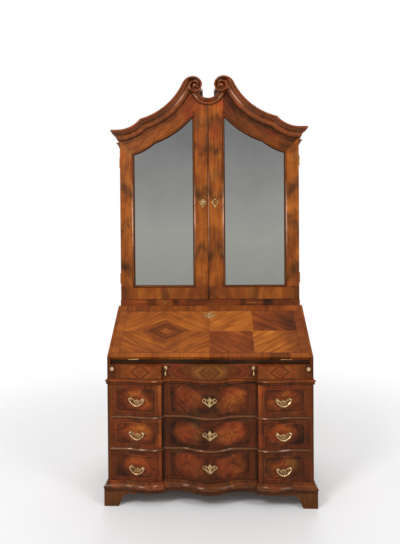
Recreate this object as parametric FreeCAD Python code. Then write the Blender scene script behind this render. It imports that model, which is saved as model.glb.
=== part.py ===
import FreeCAD, Part
import math
import os

# Bureau cabinet with a serpentine chest, a slant fall and a mirrored cabinet under a swan-neck cornice
# Lengths are in millimetres, X runs to the right, Y to the back and Z up
# The drawing plane Y = 0 is the flat front of the chest, and every node is centred in depth at the export

V = FreeCAD.Vector

# Chest sizes
case_width = 1080
case_depth = 575
side_thickness = 16
back_thickness = 10
foot_height = 76
plinth_height = 18
base_height = 36
floor_thickness = 18
bottom_drawer_height = 158
middle_drawer_height = 154
top_drawer_height = 166
rail_thickness = 16
waist_height = 26
frieze_height = 78
bed_thickness = 22

# Serpentine plan of the chest front, for one half, with its widths from the case's side to the middle
corner_flat = 90
flank_width = 128
bulge_inner_width = 70
bay_width = 87
bow_depth = 27
recess_depth = 15
bulge_depth = 19
bulge_inner_drop = 10
step_round = 4

# Mouldings round the chest
base_projection = 20
waist_projection = 10.5
plinth_projection = 17
bead_projection = 5
plinth_width = 70

# Bracket feet
bracket_length = 172
bracket_thickness = 20
block_size = 44

# Slant fall and desk
fall_thickness = 22
fall_length = 364
fall_slope = 42
desk_top_thickness = 22
letter_front = 312
letter_shelf_height = 84
letter_board = 8
divider_count = 7
end_bay_count = 2

# Drawers
drawer_front_back = 33
drawer_side = 10
drawer_bottom = 6
drawer_bottom_lift = 4
drawer_back_room = 17
drawer_box_drop = 24
edge_ease = 1.5
loper_width = 26
loper_back_room = 65
guide_thickness = 9
guide_start = 42

# Upper cabinet
cabinet_step = 11
cabinet_face = 278
door_thickness = 22
cabinet_side = 16
candle_height = 36
cabinet_floor = 16
shelf_thickness = 12
shelf_setback = 8
shelf_shares = [0.31, 0.60, 0.86]
candle_width = 96
candle_thickness = 9
candle_back_room = 59
candle_slot_lift = 11
housing_border = 16

# Swan-neck pediment, three arcs for one half
shoulder_height = 978
corner_radius = 229
corner_turn = 45
neck_start = 16.4
cup_reach = 26
cup_lift = 3
cup_turn = 86
volute_centre = 77
volute_rise = 302
volute_radius = 51
hub_overlap = 1.6
cornice_height = 54
cornice_projection = 42
cup_height = 30
cup_projection = 30
board_height = 52
roof_half = 8
astragal_height = 36
astragal_projection = 21
return_overrun = 60
arc_overrun = 9

# Doors
outer_stile = 79
inner_stile = 88
bottom_rail = 76
mirror_top_border = 90
mirror_thickness = 4
mirror_depth = 6
rebate = 6
backing_thickness = 8
door_bead = 7
bead_foot = 5
bead_height = 3.5
astragal_width = 9
astragal_height_out = 4

# Brasses
plate_thickness = 2
plate_width = 88
escutcheon_width = 77
handle_offset = 58
bottom_handle_offset = -10
post_spread = 34
post_rise = 10
post_reach = 14
post_head = 5.1
post_stem = 3
bail_half = 42
bail_length = 37
bail_end_radius = 2.3
bail_middle_radius = 3.6
bail_pin = 1.6
keyhole_radius = 2.4
pendant_inset = 20
pendant_rise = 54
pendant_length = 40
pendant_radius = 7
pendant_pin = 1.5
pendant_cheek = 2
pendant_eye = 4
pendant_reach = 9
pendant_collar = 3.6
pendant_rosette_radius = 11
loper_knob_radius = 12
loper_knob_rise = 56
candle_knob_radius = 4.5
kite_half_width = 22
kite_rise = 18
kite_foot = 36
kite_centre = 36
kite_height = 612
fall_lock_inset = 72
hinge_length = 60
hinge_knuckle = 3.3
hinge_pin = 1.5
hinge_leaf = 24
hinge_leaf_thickness = 1.5
fall_hinge_inset = 122
door_hinge_inset = 125
door_hinge_reach = 3.5

# Clearances
slide_gap = 0.3
drawer_gap = 1
door_gap = 2.5
meeting_gap = 0.5
joint_gap = 0.4
pin_gap = 0.07
knuckle_gap = 0.3

# Angles
mitre_angle = 45
full_turn = 360

# Heights and widths that follow from the sizes
plinth_top = foot_height + plinth_height
floor_top = plinth_top + base_height
rail_one = floor_top + bottom_drawer_height
middle_floor = rail_one + rail_thickness
rail_two = middle_floor + middle_drawer_height
top_floor = rail_two + rail_thickness
waist_bottom = top_floor + top_drawer_height
waist_top = waist_bottom + waist_height
bed_bottom = waist_top + frieze_height
bed_top = bed_bottom + bed_thickness
half_case = case_width / 2
half_inside = half_case - side_thickness
back_face = case_depth - back_thickness
y_centre = (case_depth - bow_depth - base_projection) / 2
flat_start = half_case - corner_flat
bulge_centre = flat_start - flank_width
step_half_width = bulge_centre - bulge_inner_width
bow_half_width = step_half_width - bay_width
handle_centre = bulge_centre + handle_offset
pendant_centre = step_half_width - pendant_inset
pendant_level = waist_top + pendant_rise
loper_knob_level = waist_top + loper_knob_rise
fall_hinge_centre = half_inside - fall_hinge_inset
drawer_box_back = back_face - drawer_back_room
loper_length = back_face - loper_back_room

# Fall, drawn from its hinge line on the top front edge of the bed
slope_cos = math.cos(math.radians(fall_slope))
slope_sin = math.sin(math.radians(fall_slope))
hinge_y = recess_depth
hinge_z = bed_top


def fall_point(along, out):
    """A point at a distance up the slope and a distance out of the inner face"""
    return (hinge_y + along * slope_cos - out * slope_sin, hinge_z + along * slope_sin + out * slope_cos)


desk_top_level = fall_point(fall_length, fall_thickness)[1]
cabinet_carcase = cabinet_face + door_thickness + slide_gap
half_cabinet = half_case - cabinet_step
half_cabinet_inside = half_cabinet - cabinet_side
candle_centre = half_cabinet / 2
shoulder_level = desk_top_level + shoulder_height
volute_level = shoulder_level + volute_rise
cup_level = volute_level + cup_lift
cup_radius = volute_centre + cup_reach
candle_length = back_face - cabinet_carcase - housing_border - candle_back_room
kite_level = desk_top_level + kite_height
cabinet_floor_top = desk_top_level + candle_height + cabinet_floor / 2
door_bottom = desk_top_level + candle_height + door_gap
loper_outer = half_inside - joint_gap
loper_inner = loper_outer - loper_width
guide_outer = loper_inner - drawer_gap
guide_inner = guide_outer - guide_thickness

# Volute spiral, as (degrees, share of the volute's radius) from the end of the neck to its eye
spiral_shares = [(3.9, 1.488), (19, 1.376), (38, 1.25), (60, 1.12), (90, 1.0), (118, 0.91), (150, 0.87),
                 (180, 0.84),
                 (225, 0.79), (270, 0.735), (315, 0.68), (338, 0.65), (360, 0.62), (405, 0.555), (450, 0.49),
                 (495, 0.43), (540, 0.37), (565, 0.335), (590, 0.30)]


def spiral_point(degrees, radius):
    """An (x, z) point round the right-hand volute's centre"""
    angle = math.radians(degrees)
    return (volute_centre + radius * math.cos(angle), volute_level + radius * math.sin(angle))


# Arc centres of the pediment: the neck leaves the shoulder at its start angle and ends on the spiral's
# first point
corner_centre = (half_cabinet, shoulder_level + corner_radius)
shoulder = (corner_centre[0] - corner_radius * math.sin(math.radians(corner_turn)),
            corner_centre[1] - corner_radius * math.cos(math.radians(corner_turn)))
neck_lean = (math.sin(math.radians(neck_start)), math.cos(math.radians(neck_start)))
neck_goal = spiral_point(spiral_shares[0][0], spiral_shares[0][1] * volute_radius)
neck_run = neck_goal[0] - shoulder[0] - cornice_height * neck_lean[0]
neck_rise = neck_goal[1] - shoulder[1] - cornice_height * neck_lean[1]
neck_chord = math.hypot(neck_run, neck_rise)
neck_top_radius = neck_chord ** 2 / (2 * (neck_run * neck_lean[0] + neck_rise * neck_lean[1]))
neck_radius = neck_top_radius + cornice_height
neck_centre = (shoulder[0] + neck_radius * neck_lean[0], shoulder[1] + neck_radius * neck_lean[1])
neck_end = math.degrees(math.atan2(neck_centre[0] - neck_goal[0], neck_centre[1] - neck_goal[1]))
neck_foot = (neck_centre[0] - neck_radius * math.sin(math.radians(neck_end)),
             neck_centre[1] - neck_radius * math.cos(math.radians(neck_end)))
volute_hub = math.hypot(neck_foot[0] - volute_centre, neck_foot[1] - volute_level) + hub_overlap


def block(x0, x1, y0, y1, z0, z1):
    """A box between two corners"""
    return Part.makeBox(x1 - x0, y1 - y0, z1 - z0, V(x0, y0, z0))


def mirrored(shape):
    """The same shape on the other side of the middle"""
    return shape.mirror(V(0, 0, 0), V(1, 0, 0))


def fused(shapes):
    """One solid out of several"""
    return shapes[0].multiFuse(shapes[1:]).removeSplitter()


def edge(points):
    """A line through two points or an arc through three"""
    if len(points) == 2:
        return Part.LineSegment(points[0], points[1]).toShape()
    return Part.Arc(points[0], points[1], points[2]).toShape()


def closed_face(points):
    """A plane face with straight sides"""
    return Part.Face(Part.makePolygon(points + points[:1]))


def prism_across(points, x0, x1):
    """A side outline of (y, z) points carried from one x to another"""
    return closed_face([V(x0, y, z) for y, z in points]).extrude(V(x1 - x0, 0, 0))


def prism_back(points, y0, y1):
    """A front outline of (x, z) points carried from one y to another"""
    return closed_face([V(x, y0, z) for x, z in points]).extrude(V(0, y1 - y0, 0))


def cylinder_back(centre, radius, y0, y1):
    """A cylinder along Y round a (x, z) centre"""
    return Part.makeCylinder(radius, y1 - y0, V(centre[0], y0, centre[1]), V(0, 1, 0))


def turned(profile, place, direction):
    """A turned piece from (radius, height) points, standing at a place along a direction"""
    face = closed_face([V(r, 0, h) for r, h in profile])
    solid = face.revolve(V(0, 0, 0), V(0, 0, 1), full_turn)
    solid.Placement = FreeCAD.Placement(place, FreeCAD.Rotation(V(0, 0, 1), direction))
    return solid


def export(name, shapes):
    """Write one node with its solids centred in depth"""
    solids = []
    for shape in shapes:
        for solid in shape.Solids:
            moved = solid.copy()
            moved.translate(V(0, -y_centre, 0))
            solids.append(moved)
    whole = solids[0] if len(solids) == 1 else Part.makeCompound(solids)
    whole.exportStep("parts/" + name + ".step")


# Serpentine front


def two_arc_radius(run, rise):
    """Radius of two equal arcs that cross a run and a rise with level ends"""
    return ((run / 2) ** 2 + (rise / 2) ** 2) / rise


bow_radius = two_arc_radius(bow_half_width, bow_depth + recess_depth)
bow_turn = math.asin(bow_half_width / 2 / bow_radius)
bulge_radius = two_arc_radius(flat_start - bulge_centre, bulge_depth)
bulge_turn = math.asin((flat_start - bulge_centre) / 2 / bulge_radius)
bulge_run = bulge_centre - step_half_width
inner_radius = (bulge_run ** 2 + bulge_inner_drop ** 2) / (2 * bulge_inner_drop)


def on_circle(centre, radius, angle):
    return (centre[0] + radius * math.cos(angle), centre[1] + radius * math.sin(angle))


def arc_points(centre, radius, start, end):
    """First, middle and last point of an arc in plan"""
    return [on_circle(centre, radius, a) for a in (start, (start + end) / 2, end)]


def half_front(half_width, offset):
    """Segments of the right half of the front, from the middle to the end, moved out by an offset"""
    front = -math.pi / 2
    back = math.pi / 2
    bow = arc_points((0, bow_radius - bow_depth), bow_radius + offset, front, front + bow_turn)
    bay = arc_points((bow_half_width, recess_depth - bow_radius), bow_radius - offset, back + bow_turn, back)
    step_x = step_half_width - offset
    inner_centre = (bulge_centre, inner_radius - bulge_depth)
    corner_x = step_half_width + step_round
    lean = math.asin((corner_x - bulge_centre) / (inner_radius - step_round))
    corner_y = inner_centre[1] - (inner_radius - step_round) * math.cos(lean)
    corner = arc_points((corner_x, corner_y), step_round + offset, -math.pi, front + lean)
    inner = arc_points(inner_centre, inner_radius + offset, front + lean, front)
    outer_centre = (bulge_centre, bulge_radius - bulge_depth)
    outer = arc_points(outer_centre, bulge_radius + offset, front, front + bulge_turn)
    flank = arc_points((flat_start, -bulge_radius), bulge_radius - offset, back + bulge_turn, back)
    recess = [bay[2], (step_x, recess_depth - offset)]
    step = [recess[1], corner[0]]
    flat = [flank[2], (half_width, -offset)]
    return [bow, bay, recess, step, corner, inner, outer, flank, flat]


def front_depth(x):
    """How far back the front lies at a place on the side bulge or its flank"""
    middle = (bulge_centre + flat_start) / 2
    if x < middle:
        return bulge_radius - bulge_depth - math.sqrt(bulge_radius ** 2 - (x - bulge_centre) ** 2)
    return -bulge_radius + math.sqrt(bulge_radius ** 2 - (flat_start - x) ** 2)


def plan_wire(half_width, offset, back, level):
    """Closed plan outline of the serpentine front with straight sides and back"""
    right = half_front(half_width, offset)
    left = [[(-x, y) for x, y in reversed(segment)] for segment in reversed(right)]
    end = right[-1][-1]
    rest = [[end, (end[0], back)], [(end[0], back), (-end[0], back)], [(-end[0], back), (-end[0], end[1])]]
    edges = [edge([V(x, y, level) for x, y in segment]) for segment in left + right + rest]
    return Part.Wire(edges)


def plan_prism(half_width, offset, back, z0, z1):
    """A plain slab with the serpentine front"""
    return Part.Face(plan_wire(half_width, offset, back, z0)).extrude(V(0, 0, z1 - z0))


def plan_stack(half_width, levels, back, wrap):
    """A moulded slab from (level, offset) pairs, wrapped round the sides where wrap is 1"""
    layers = []
    for (low, first), (high, second) in zip(levels, levels[1:]):
        if high > low:
            wires = [plan_wire(half_width + wrap * first, first, back, low),
                     plan_wire(half_width + wrap * second, second, back, high)]
            layers.append(Part.makeLoft(wires, True, True))
    return fused(layers)


def ring_stack(levels):
    """A moulding planted on the front and both sides of the case"""
    low = levels[0][0]
    high = levels[-1][0]
    core = plan_prism(half_case, 0, case_depth, low, high)
    return plan_stack(half_case, levels, case_depth, 1).cut(core)


# Base moulding, waist moulding and plinth

base_shares = [(0, 1), (0.20, 1), (0.32, 0.72), (0.54, 0.40), (0.80, 0.27), (0.80, 0.15), (1, 0.15)]
waist_shares = [(0, 0.3), (0.10, 0.66), (0.26, 0.66), (0.34, 0.34), (0.48, 0.50), (0.58, 1), (0.78, 1),
                (0.88, 0.6),
                (1, 0.15)]
base_moulding = ring_stack([(plinth_top + z * base_height, p * base_projection) for z, p in base_shares])
waist_levels = [(waist_bottom + z * waist_height, p * waist_projection) for z, p in waist_shares]
waist_moulding = ring_stack(waist_levels)

plinth_outer = plan_prism(half_case + plinth_projection, plinth_projection, case_depth, foot_height,
                          plinth_top)
plinth_hole = block(-half_case + plinth_width, half_case - plinth_width, plinth_width,
                    case_depth - plinth_width,
                    foot_height, plinth_top)
plinth = plinth_outer.cut(plinth_hole)

export_list = []
export_list.append(("base_moulding", [base_moulding]))
export_list.append(("waist_moulding", [waist_moulding]))
export_list.append(("plinth_frame", [plinth]))

# Bracket feet, cut to the scrolled outline and to the serpentine plan

bracket_shares = [(0.44, 0), (0.50, 0.36), (0.60, 0.70), (0.80, 0.92), (0.93, 0.86), (0.955, 0.80),
                  (0.98, 0.90), (1, 1)]


def bracket_outline(start, direction):
    """Front or side outline of a bracket, as (along, z) points from its outer corner"""
    outline = [(start, 0)]
    outline += [(start + direction * s * bracket_length, z * foot_height) for s, z in bracket_shares]
    outline.append((start, foot_height))
    return outline


def bracket_face(outline, across):
    """Face of a bracket with its scrolled edge as a smooth curve"""
    put = (lambda a, z: V(a, 0, z)) if across else (lambda a, z: V(0, a, z))
    curve = Part.BSplineCurve()
    curve.interpolate([put(a, z) for a, z in outline[1:6]])
    nose = Part.makePolygon([put(a, z) for a, z in outline[5:]] + [put(*outline[0]), put(*outline[1])])
    return Part.Face(Part.Wire([curve.toShape()] + nose.Edges))


outer_x = half_case + plinth_projection
foot_ring = plan_prism(outer_x, plinth_projection, case_depth, 0, foot_height).cut(
    plan_prism(outer_x - bracket_thickness, plinth_projection - bracket_thickness, case_depth, 0,
               foot_height))
front_outline = bracket_outline(outer_x, -1)
front_cutter = bracket_face(front_outline, True)
front_cutter.translate(V(0, -case_depth / 2, 0))
front_bracket = front_cutter.extrude(V(0, case_depth, 0))
mitre_box = Part.makeBox(case_depth, case_depth, foot_height)
mitre_box.Placement = FreeCAD.Placement(V(outer_x, -plinth_projection, 0),
                                        FreeCAD.Rotation(V(0, 0, 1), mitre_angle))
front_zone = block(0, outer_x, -case_depth / 2, case_depth / 4, 0, foot_height)
foot_front = front_bracket.common(foot_ring.common(front_zone)).cut(mitre_box.copy())
side_face_front = bracket_face(bracket_outline(-plinth_projection, 1), False)
side_face_back = bracket_face(bracket_outline(case_depth, -1), False)
side_slab = block(outer_x - bracket_thickness, outer_x, -plinth_projection, case_depth, 0, foot_height)
side_front = side_face_front.extrude(V(outer_x, 0, 0)).common(side_slab).common(mitre_box)
side_back = side_face_back.extrude(V(outer_x, 0, 0)).common(side_slab)
foot_front = foot_front.cut(side_front)
glue_front = block(outer_x - bracket_thickness - block_size, outer_x - bracket_thickness,
                   bracket_thickness - plinth_projection, bracket_thickness - plinth_projection + block_size,
                   0, foot_height)
glue_back = block(outer_x - bracket_thickness - block_size, outer_x - bracket_thickness,
                  case_depth - block_size, case_depth, 0, foot_height)
feet = [foot_front, side_front, glue_front, side_back, glue_back]
export_list.append(("bracket_feet", feet + [mirrored(s) for s in feet]))

# Case boards

side_outline = [(0, plinth_top), (0, fall_point(0, fall_thickness)[1]),
                fall_point(fall_length, fall_thickness),
                (case_depth, desk_top_level), (case_depth, plinth_top)]
case_side = prism_across(side_outline, half_inside, half_case)
case_back = block(-half_inside, half_inside, back_face, case_depth, plinth_top,
                  desk_top_level - desk_top_thickness)
case_floor = plan_prism(half_inside, 0, back_face, floor_top - floor_thickness, floor_top)
floor_rail = plan_prism(half_inside, 0, plinth_width, plinth_top, floor_top - floor_thickness)
export_list.append(("case_side_right", [case_side]))
export_list.append(("case_side_left", [mirrored(case_side)]))
export_list.append(("case_back", [case_back]))
export_list.append(("case_floor", [case_floor, floor_rail]))

rail_shares = [(0, 0), (0.12, 0), (0.12, 0.4), (0.34, 1), (0.66, 1), (0.88, 0.4), (0.88, 0), (1, 0)]


def beaded_rail(level):
    """A full-depth dust board with a bead along its serpentine front edge"""
    levels = [(level + z * rail_thickness, p * bead_projection) for z, p in rail_shares]
    return plan_stack(half_inside, levels, back_face, 0)


waist_rail = plan_prism(half_inside, 0, back_face, waist_bottom, waist_top)
guide = block(guide_inner, guide_outer, guide_start, back_face, waist_top, bed_bottom)
export_list.append(("drawer_rails", [beaded_rail(rail_one), beaded_rail(rail_two), waist_rail]))
export_list.append(("loper_guides", [guide, mirrored(guide)]))

# Hinges with a fixed leaf, a moving leaf and a pin


def butt_hinge(open_angle):
    """Fixed and moving halves on the local Z axis, with the space they need in each board"""
    half = hinge_length / 2
    third = hinge_length / 6
    tube = hinge_knuckle + knuckle_gap
    fixed_leaf = block(0, hinge_leaf, -hinge_leaf_thickness, 0, -half, half)
    moving_leaf = block(0, hinge_leaf, 0, hinge_leaf_thickness, -half, half)
    middle = block(-tube, tube, -tube, tube, -third - knuckle_gap, third + knuckle_gap)
    lower = block(-tube, tube, -tube, tube, -half, -third)
    upper = block(-tube, tube, -tube, tube, third, half)
    lower_knuckle = Part.makeCylinder(hinge_knuckle, half - third - knuckle_gap, V(0, 0, -half))
    upper_knuckle = Part.makeCylinder(hinge_knuckle, half - third - knuckle_gap, V(0, 0, third + knuckle_gap))
    pin = Part.makeCylinder(hinge_pin, 2 * half, V(0, 0, -half))
    fixed = fused([fixed_leaf.cut(middle), lower_knuckle, upper_knuckle, pin])
    sleeve = Part.makeCylinder(hinge_knuckle, 2 * third, V(0, 0, -third))
    sleeve = sleeve.cut(Part.makeCylinder(hinge_pin + pin_gap, 2 * third, V(0, 0, -third)))
    moving = fused([moving_leaf.cut(lower).cut(upper), sleeve])
    moving = moving.cut(Part.makeCylinder(hinge_pin + pin_gap, 2 * half, V(0, 0, -half)))
    moving.rotate(V(0, 0, 0), V(0, 0, 1), open_angle)
    moving_leaf.rotate(V(0, 0, 0), V(0, 0, 1), open_angle)
    fixed_space = fixed_leaf.fuse(Part.makeCylinder(tube, 2 * half + 2 * knuckle_gap,
                                                    V(0, 0, -half - knuckle_gap)))
    moving_space = moving_leaf.fuse(Part.makeCylinder(tube, 2 * half + 2 * knuckle_gap,
                                                      V(0, 0, -half - knuckle_gap)))
    return [fixed, moving, fixed_space, moving_space]


def placed(shapes, place, x_axis, z_axis):
    """Copies of shapes with their local X and Z axes laid along two directions"""
    y_axis = z_axis.cross(x_axis)
    rotation = FreeCAD.Rotation(x_axis, y_axis, z_axis, "XZY")
    result = []
    for shape in shapes:
        copy = shape.copy()
        copy.Placement = FreeCAD.Placement(place, rotation)
        result.append(copy)
    return result


# Bed, desk top and fall

bed = block(-half_inside, half_inside, hinge_y + joint_gap, back_face, bed_bottom, bed_top)
fall_half = half_inside - drawer_gap
fall_outline = [fall_point(0, 0), fall_point(fall_length, 0), fall_point(fall_length, fall_thickness),
                fall_point(0, fall_thickness)]
fall = prism_across(fall_outline, -fall_half, fall_half)
fall_hinges = [placed(butt_hinge(fall_slope), V(x, hinge_y, hinge_z), V(0, 1, 0), V(1, 0, 0))
               for x in (-fall_hinge_centre, fall_hinge_centre)]
for fixed, moving, fixed_space, moving_space in fall_hinges:
    bed = bed.cut(fixed_space)
    fall = fall.cut(moving_space)
end_line = fall_length + joint_gap
bevel_top = fall_point(end_line, fall_thickness)
bevel_foot = fall_point(end_line, 0)
bevel_share = (desk_top_level - bevel_foot[1]) / (bevel_top[1] - bevel_foot[1])
bevel_y = bevel_foot[0] + bevel_share * (bevel_top[0] - bevel_foot[0])
desk_under = desk_top_level - desk_top_thickness
desk_top = prism_across([(bevel_y, desk_top_level), bevel_foot, (bevel_foot[0], desk_under),
                         (case_depth, desk_under), (case_depth, desk_top_level)], -half_inside, half_inside)
export_list.append(("desk_bed", [bed]))
export_list.append(("desk_top", [desk_top]))

# Letter shelves and letter drawers behind the fall

letter_shelf = bed_top + letter_shelf_height
shelf_board = block(-half_inside, half_inside, letter_front, back_face, letter_shelf,
                    letter_shelf + letter_board)
letter_bay = 2 * half_inside / (divider_count + 1)
uprights = []
for number in range(divider_count):
    x = (number + 1) * letter_bay - half_inside
    uprights.append(block(x - letter_board / 2, x + letter_board / 2, letter_front + letter_board, back_face,
                          letter_shelf + letter_board, desk_under))
stops = []
for number in (end_bay_count, divider_count + 1 - end_bay_count):
    x = number * letter_bay - half_inside
    stops.append(block(x - letter_board / 2, x + letter_board / 2, letter_front, back_face, bed_top,
                       letter_shelf))
export_list.append(("letter_rack", [shelf_board] + uprights + stops))


def open_box(x0, x1, y0, y1, z0, z1):
    """Two sides, a back and a bottom of a drawer, the front being open"""
    left = block(x0, x0 + drawer_side, y0, y1, z0, z1)
    right = block(x1 - drawer_side, x1, y0, y1, z0, z1)
    back = block(x0 + drawer_side, x1 - drawer_side, y1 - drawer_side, y1, z0, z1)
    lift = z0 + drawer_bottom_lift
    bottom = block(x0 + drawer_side, x1 - drawer_side, y0, y1 - drawer_side, lift, lift + drawer_bottom)
    return [left, right, back, bottom]


letter_right = half_inside - joint_gap
letter_left = half_inside - end_bay_count * letter_bay + letter_board / 2 + joint_gap
letter_back = letter_front + letter_board
letter_top = letter_shelf - joint_gap
letter_face = block(letter_left, letter_right, letter_front, letter_back, bed_top + slide_gap, letter_top)
letter_box = open_box(letter_left, letter_right, letter_back, back_face - letter_board,
                      bed_top + slide_gap, letter_top - letter_board)
small_knob_shares = [(0, 0), (0.45, 0), (0.35, 0.5), (1, 0.9), (1, 1.3), (0.6, 1.75), (0, 1.75)]
small_knob_profile = [(r * candle_knob_radius, h * candle_knob_radius) for r, h in small_knob_shares]
letter_knob = turned(small_knob_profile,
                     V((letter_left + letter_right) / 2, letter_front, (bed_top + letter_shelf) / 2),
                     V(0, -1, 0))
letter_drawer = [letter_face, letter_knob] + letter_box
export_list.append(("letter_drawer_right", letter_drawer))
export_list.append(("letter_drawer_left", [mirrored(s) for s in letter_drawer]))

# Pierced brass plates, as shares of the half width, from the top point round to the bottom point

batwing_shares = [(0, 0.68), (0.18, 0.39), (0.34, 0.20), (0.44, 0.29), (0.60, 0.41), (0.83, 0.33), (1, 0.10),
                  (0.98, -0.09), (0.78, -0.23), (0.57, -0.33), (0.44, -0.48), (0.22, -0.62), (0, -0.81)]
batwing_hole_shares = [[(0.50, 0.14), (0.36, 0.13), (0.17, -0.16), (0.12, -0.34), (0.24, -0.36),
                        (0.42, -0.14)],
                       [(0.88, 0.14), (0.66, 0.28), (0.60, 0.16), (0.62, -0.04), (0.84, -0.02)]]
handle_shares = [(0, 0.12), (0.24, -0.05), (0.40, 0.03), (0.55, 0.17), (0.66, 0.34), (0.80, 0.37),
                 (0.92, 0.28),
                 (0.93, 0.13), (0.78, -0.05), (0.57, -0.30), (0.38, -0.44), (0.20, -0.50), (0, -0.60)]
handle_hole_shares = [[(0.62, 0.02), (0.46, -0.08), (0.33, -0.20), (0.37, -0.35), (0.52, -0.23)],
                      [(0.10, -0.08), (0.20, -0.21), (0.12, -0.36), (0.04, -0.21)]]


def plate_prism(shares, holes, half_width, x, z, near, far):
    """A pierced plate outline carried through the front at a place"""
    right = [(x + a * half_width, z + b * half_width) for a, b in shares]
    left = [(x - a * half_width, z + b * half_width) for a, b in shares[-2:0:-1]]
    plate = prism_back(right + left, near, far)
    for hole in holes:
        for side in (1, -1):
            outline = [(x + side * a * half_width, z + b * half_width) for a, b in hole]
            plate = plate.cut(prism_back(outline, near, far))
    return plate


def skin(z0, z1):
    """The thin layer just outside the serpentine front between two levels"""
    outer = plan_prism(half_inside, plate_thickness, plinth_width, z0, z1)
    return outer.cut(plan_prism(half_inside, 0, plinth_width, z0, z1))


def keyhole(plate, x, z, near, far):
    """A plate with a keyhole at its middle"""
    eye = cylinder_back((x, z + keyhole_radius), keyhole_radius, near, far)
    slot = block(x - keyhole_radius / 3, x + keyhole_radius / 3, near, far, z - 2 * keyhole_radius,
                 z + keyhole_radius)
    return plate.cut(eye).cut(slot)


# Swinging bail handles, posed on the chord of the front between their two posts

post_near = front_depth(handle_centre - post_spread)
post_far = front_depth(handle_centre + post_spread)
handle_angle = math.degrees(math.atan2(post_far - post_near, 2 * post_spread))
handle_depth = (post_near + post_far) / 2
head_shares = [(1, -0.36), (1, 0.36), (0.62, 0.88), (0, 0.88)]
post_profile = [(0, -2 * post_stem), (post_stem, -2 * post_stem), (post_stem, post_reach - post_head)]
post_profile += [(r * post_head, post_reach + h * post_head) for r, h in head_shares]


def local_post(side):
    """One post with its bored head, on the front plane at the origin"""
    post = turned(post_profile, V(side * post_spread, 0, post_rise), V(0, -1, 0))
    start = V(side * (post_spread - joint_gap), -post_reach, post_rise)
    return post.cut(Part.makeCylinder(bail_pin + pin_gap, 2 * post_head, start, V(side, 0, 0)))


bail_power_share = 1.6
bail_stations = 13
bail_sides = 8


def bail_ring(turn):
    """Eight-sided section of the bail at an angle round its bow, thickest at the bottom"""
    across = abs(math.sin(turn)) ** (2 / bail_power_share)
    down = abs(math.cos(turn)) ** (2 / bail_power_share)
    side = math.copysign(1, turn)
    slope_x = side * across ** (bail_power_share - 1) / bail_half
    slope_z = -down ** (bail_power_share - 1) / bail_length
    steep = math.hypot(slope_x, slope_z)
    radius = bail_end_radius + (bail_middle_radius - bail_end_radius) * down ** 2
    points = []
    for number in range(bail_sides):
        angle = math.pi * (2 * number + 1) / bail_sides
        out = radius * math.cos(angle)
        points.append(V(side * across * bail_half + out * slope_x / steep,
                        radius * math.sin(angle) - post_reach,
                        post_rise - down * bail_length + out * slope_z / steep))
    return Part.makePolygon(points + points[:1])


def local_bail():
    """The bail with a pin at each end that turns inwards into the head of its post"""
    step = math.pi / (bail_stations - 1)
    rings = [bail_ring(number * step - math.pi / 2) for number in range(bail_stations)]
    parts = [Part.makeLoft(rings, True, True)]
    for side in (-1, 1):
        start = V(side * bail_half, -post_reach, post_rise)
        parts.append(Part.makeCylinder(bail_pin, bail_half - post_spread, start, V(-side, 0, 0)))
        parts.append(Part.makeCylinder(bail_end_radius, 2 * bail_pin, start + V(0, 0, -bail_pin), V(0, 0, 1)))
    return fused(parts)


post_pair = [local_post(-1), local_post(1)]
bail = local_bail()


def on_front(shape, z):
    """A copy of a handle piece turned to the right-hand front surface at a level"""
    copy = shape.copy()
    copy.rotate(V(0, 0, 0), V(0, 0, 1), handle_angle)
    copy.translate(V(handle_centre, handle_depth, z))
    return copy


# Long drawers


def long_drawer(name, level, height, handle_shift):
    """Front, box, plates and two bails of one serpentine drawer, with its handles shifted from its middle"""
    low = level + slide_gap
    high = level + height - drawer_gap
    half_front_width = half_inside - drawer_gap
    front = plan_prism(half_front_width, 0, drawer_front_back, low, high)
    box = open_box(-half_front_width, half_front_width, drawer_front_back, drawer_box_back, low,
                   high - drawer_box_drop)
    middle = level + height / 2
    handle_level = middle + handle_shift
    layer = skin(level, level + height)
    reach = case_depth / 4
    handle_plate = plate_prism(handle_shares, handle_hole_shares, plate_width / 2, handle_centre,
                               handle_level, -reach, reach)
    handle_plate = handle_plate.common(layer)
    lock_plate = plate_prism(batwing_shares, batwing_hole_shares, escutcheon_width / 2, 0, middle, -reach,
                             reach)
    lock_plate = keyhole(lock_plate.common(layer), 0, middle, -reach, 0)
    fittings = [on_front(post, handle_level) for post in post_pair]
    socket = fused([post.copy() for post in fittings])
    drilled = front.cut(socket).cut(mirrored(socket))
    handle_plate = handle_plate.cut(socket)
    fittings.append(handle_plate)
    swing = on_front(bail, handle_level)
    export_list.append((name + "_front", [drilled]))
    export_list.append((name + "_box", box))
    export_list.append((name + "_plates", fittings + [mirrored(s) for s in fittings] + [lock_plate]))
    export_list.append((name + "_bail_right", [swing]))
    export_list.append((name + "_bail_left", [mirrored(swing)]))


long_drawer("drawer_bottom", floor_top, bottom_drawer_height, bottom_handle_offset)
long_drawer("drawer_middle", middle_floor, middle_drawer_height, 0)
long_drawer("drawer_top", top_floor, top_drawer_height, 0)

# Frieze drawer with two drop pulls, between the lopers

frieze_low = waist_top + slide_gap
frieze_high = bed_bottom - drawer_gap
frieze_front = plan_prism(guide_outer, 0, drawer_front_back, frieze_low, frieze_high)
frieze_box = open_box(-guide_inner + drawer_gap, guide_inner - drawer_gap, drawer_front_back, drawer_box_back,
                      frieze_low, frieze_high - drawer_bottom)
export_list.append(("frieze_front", [frieze_front]))
export_list.append(("frieze_box", frieze_box))

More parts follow.
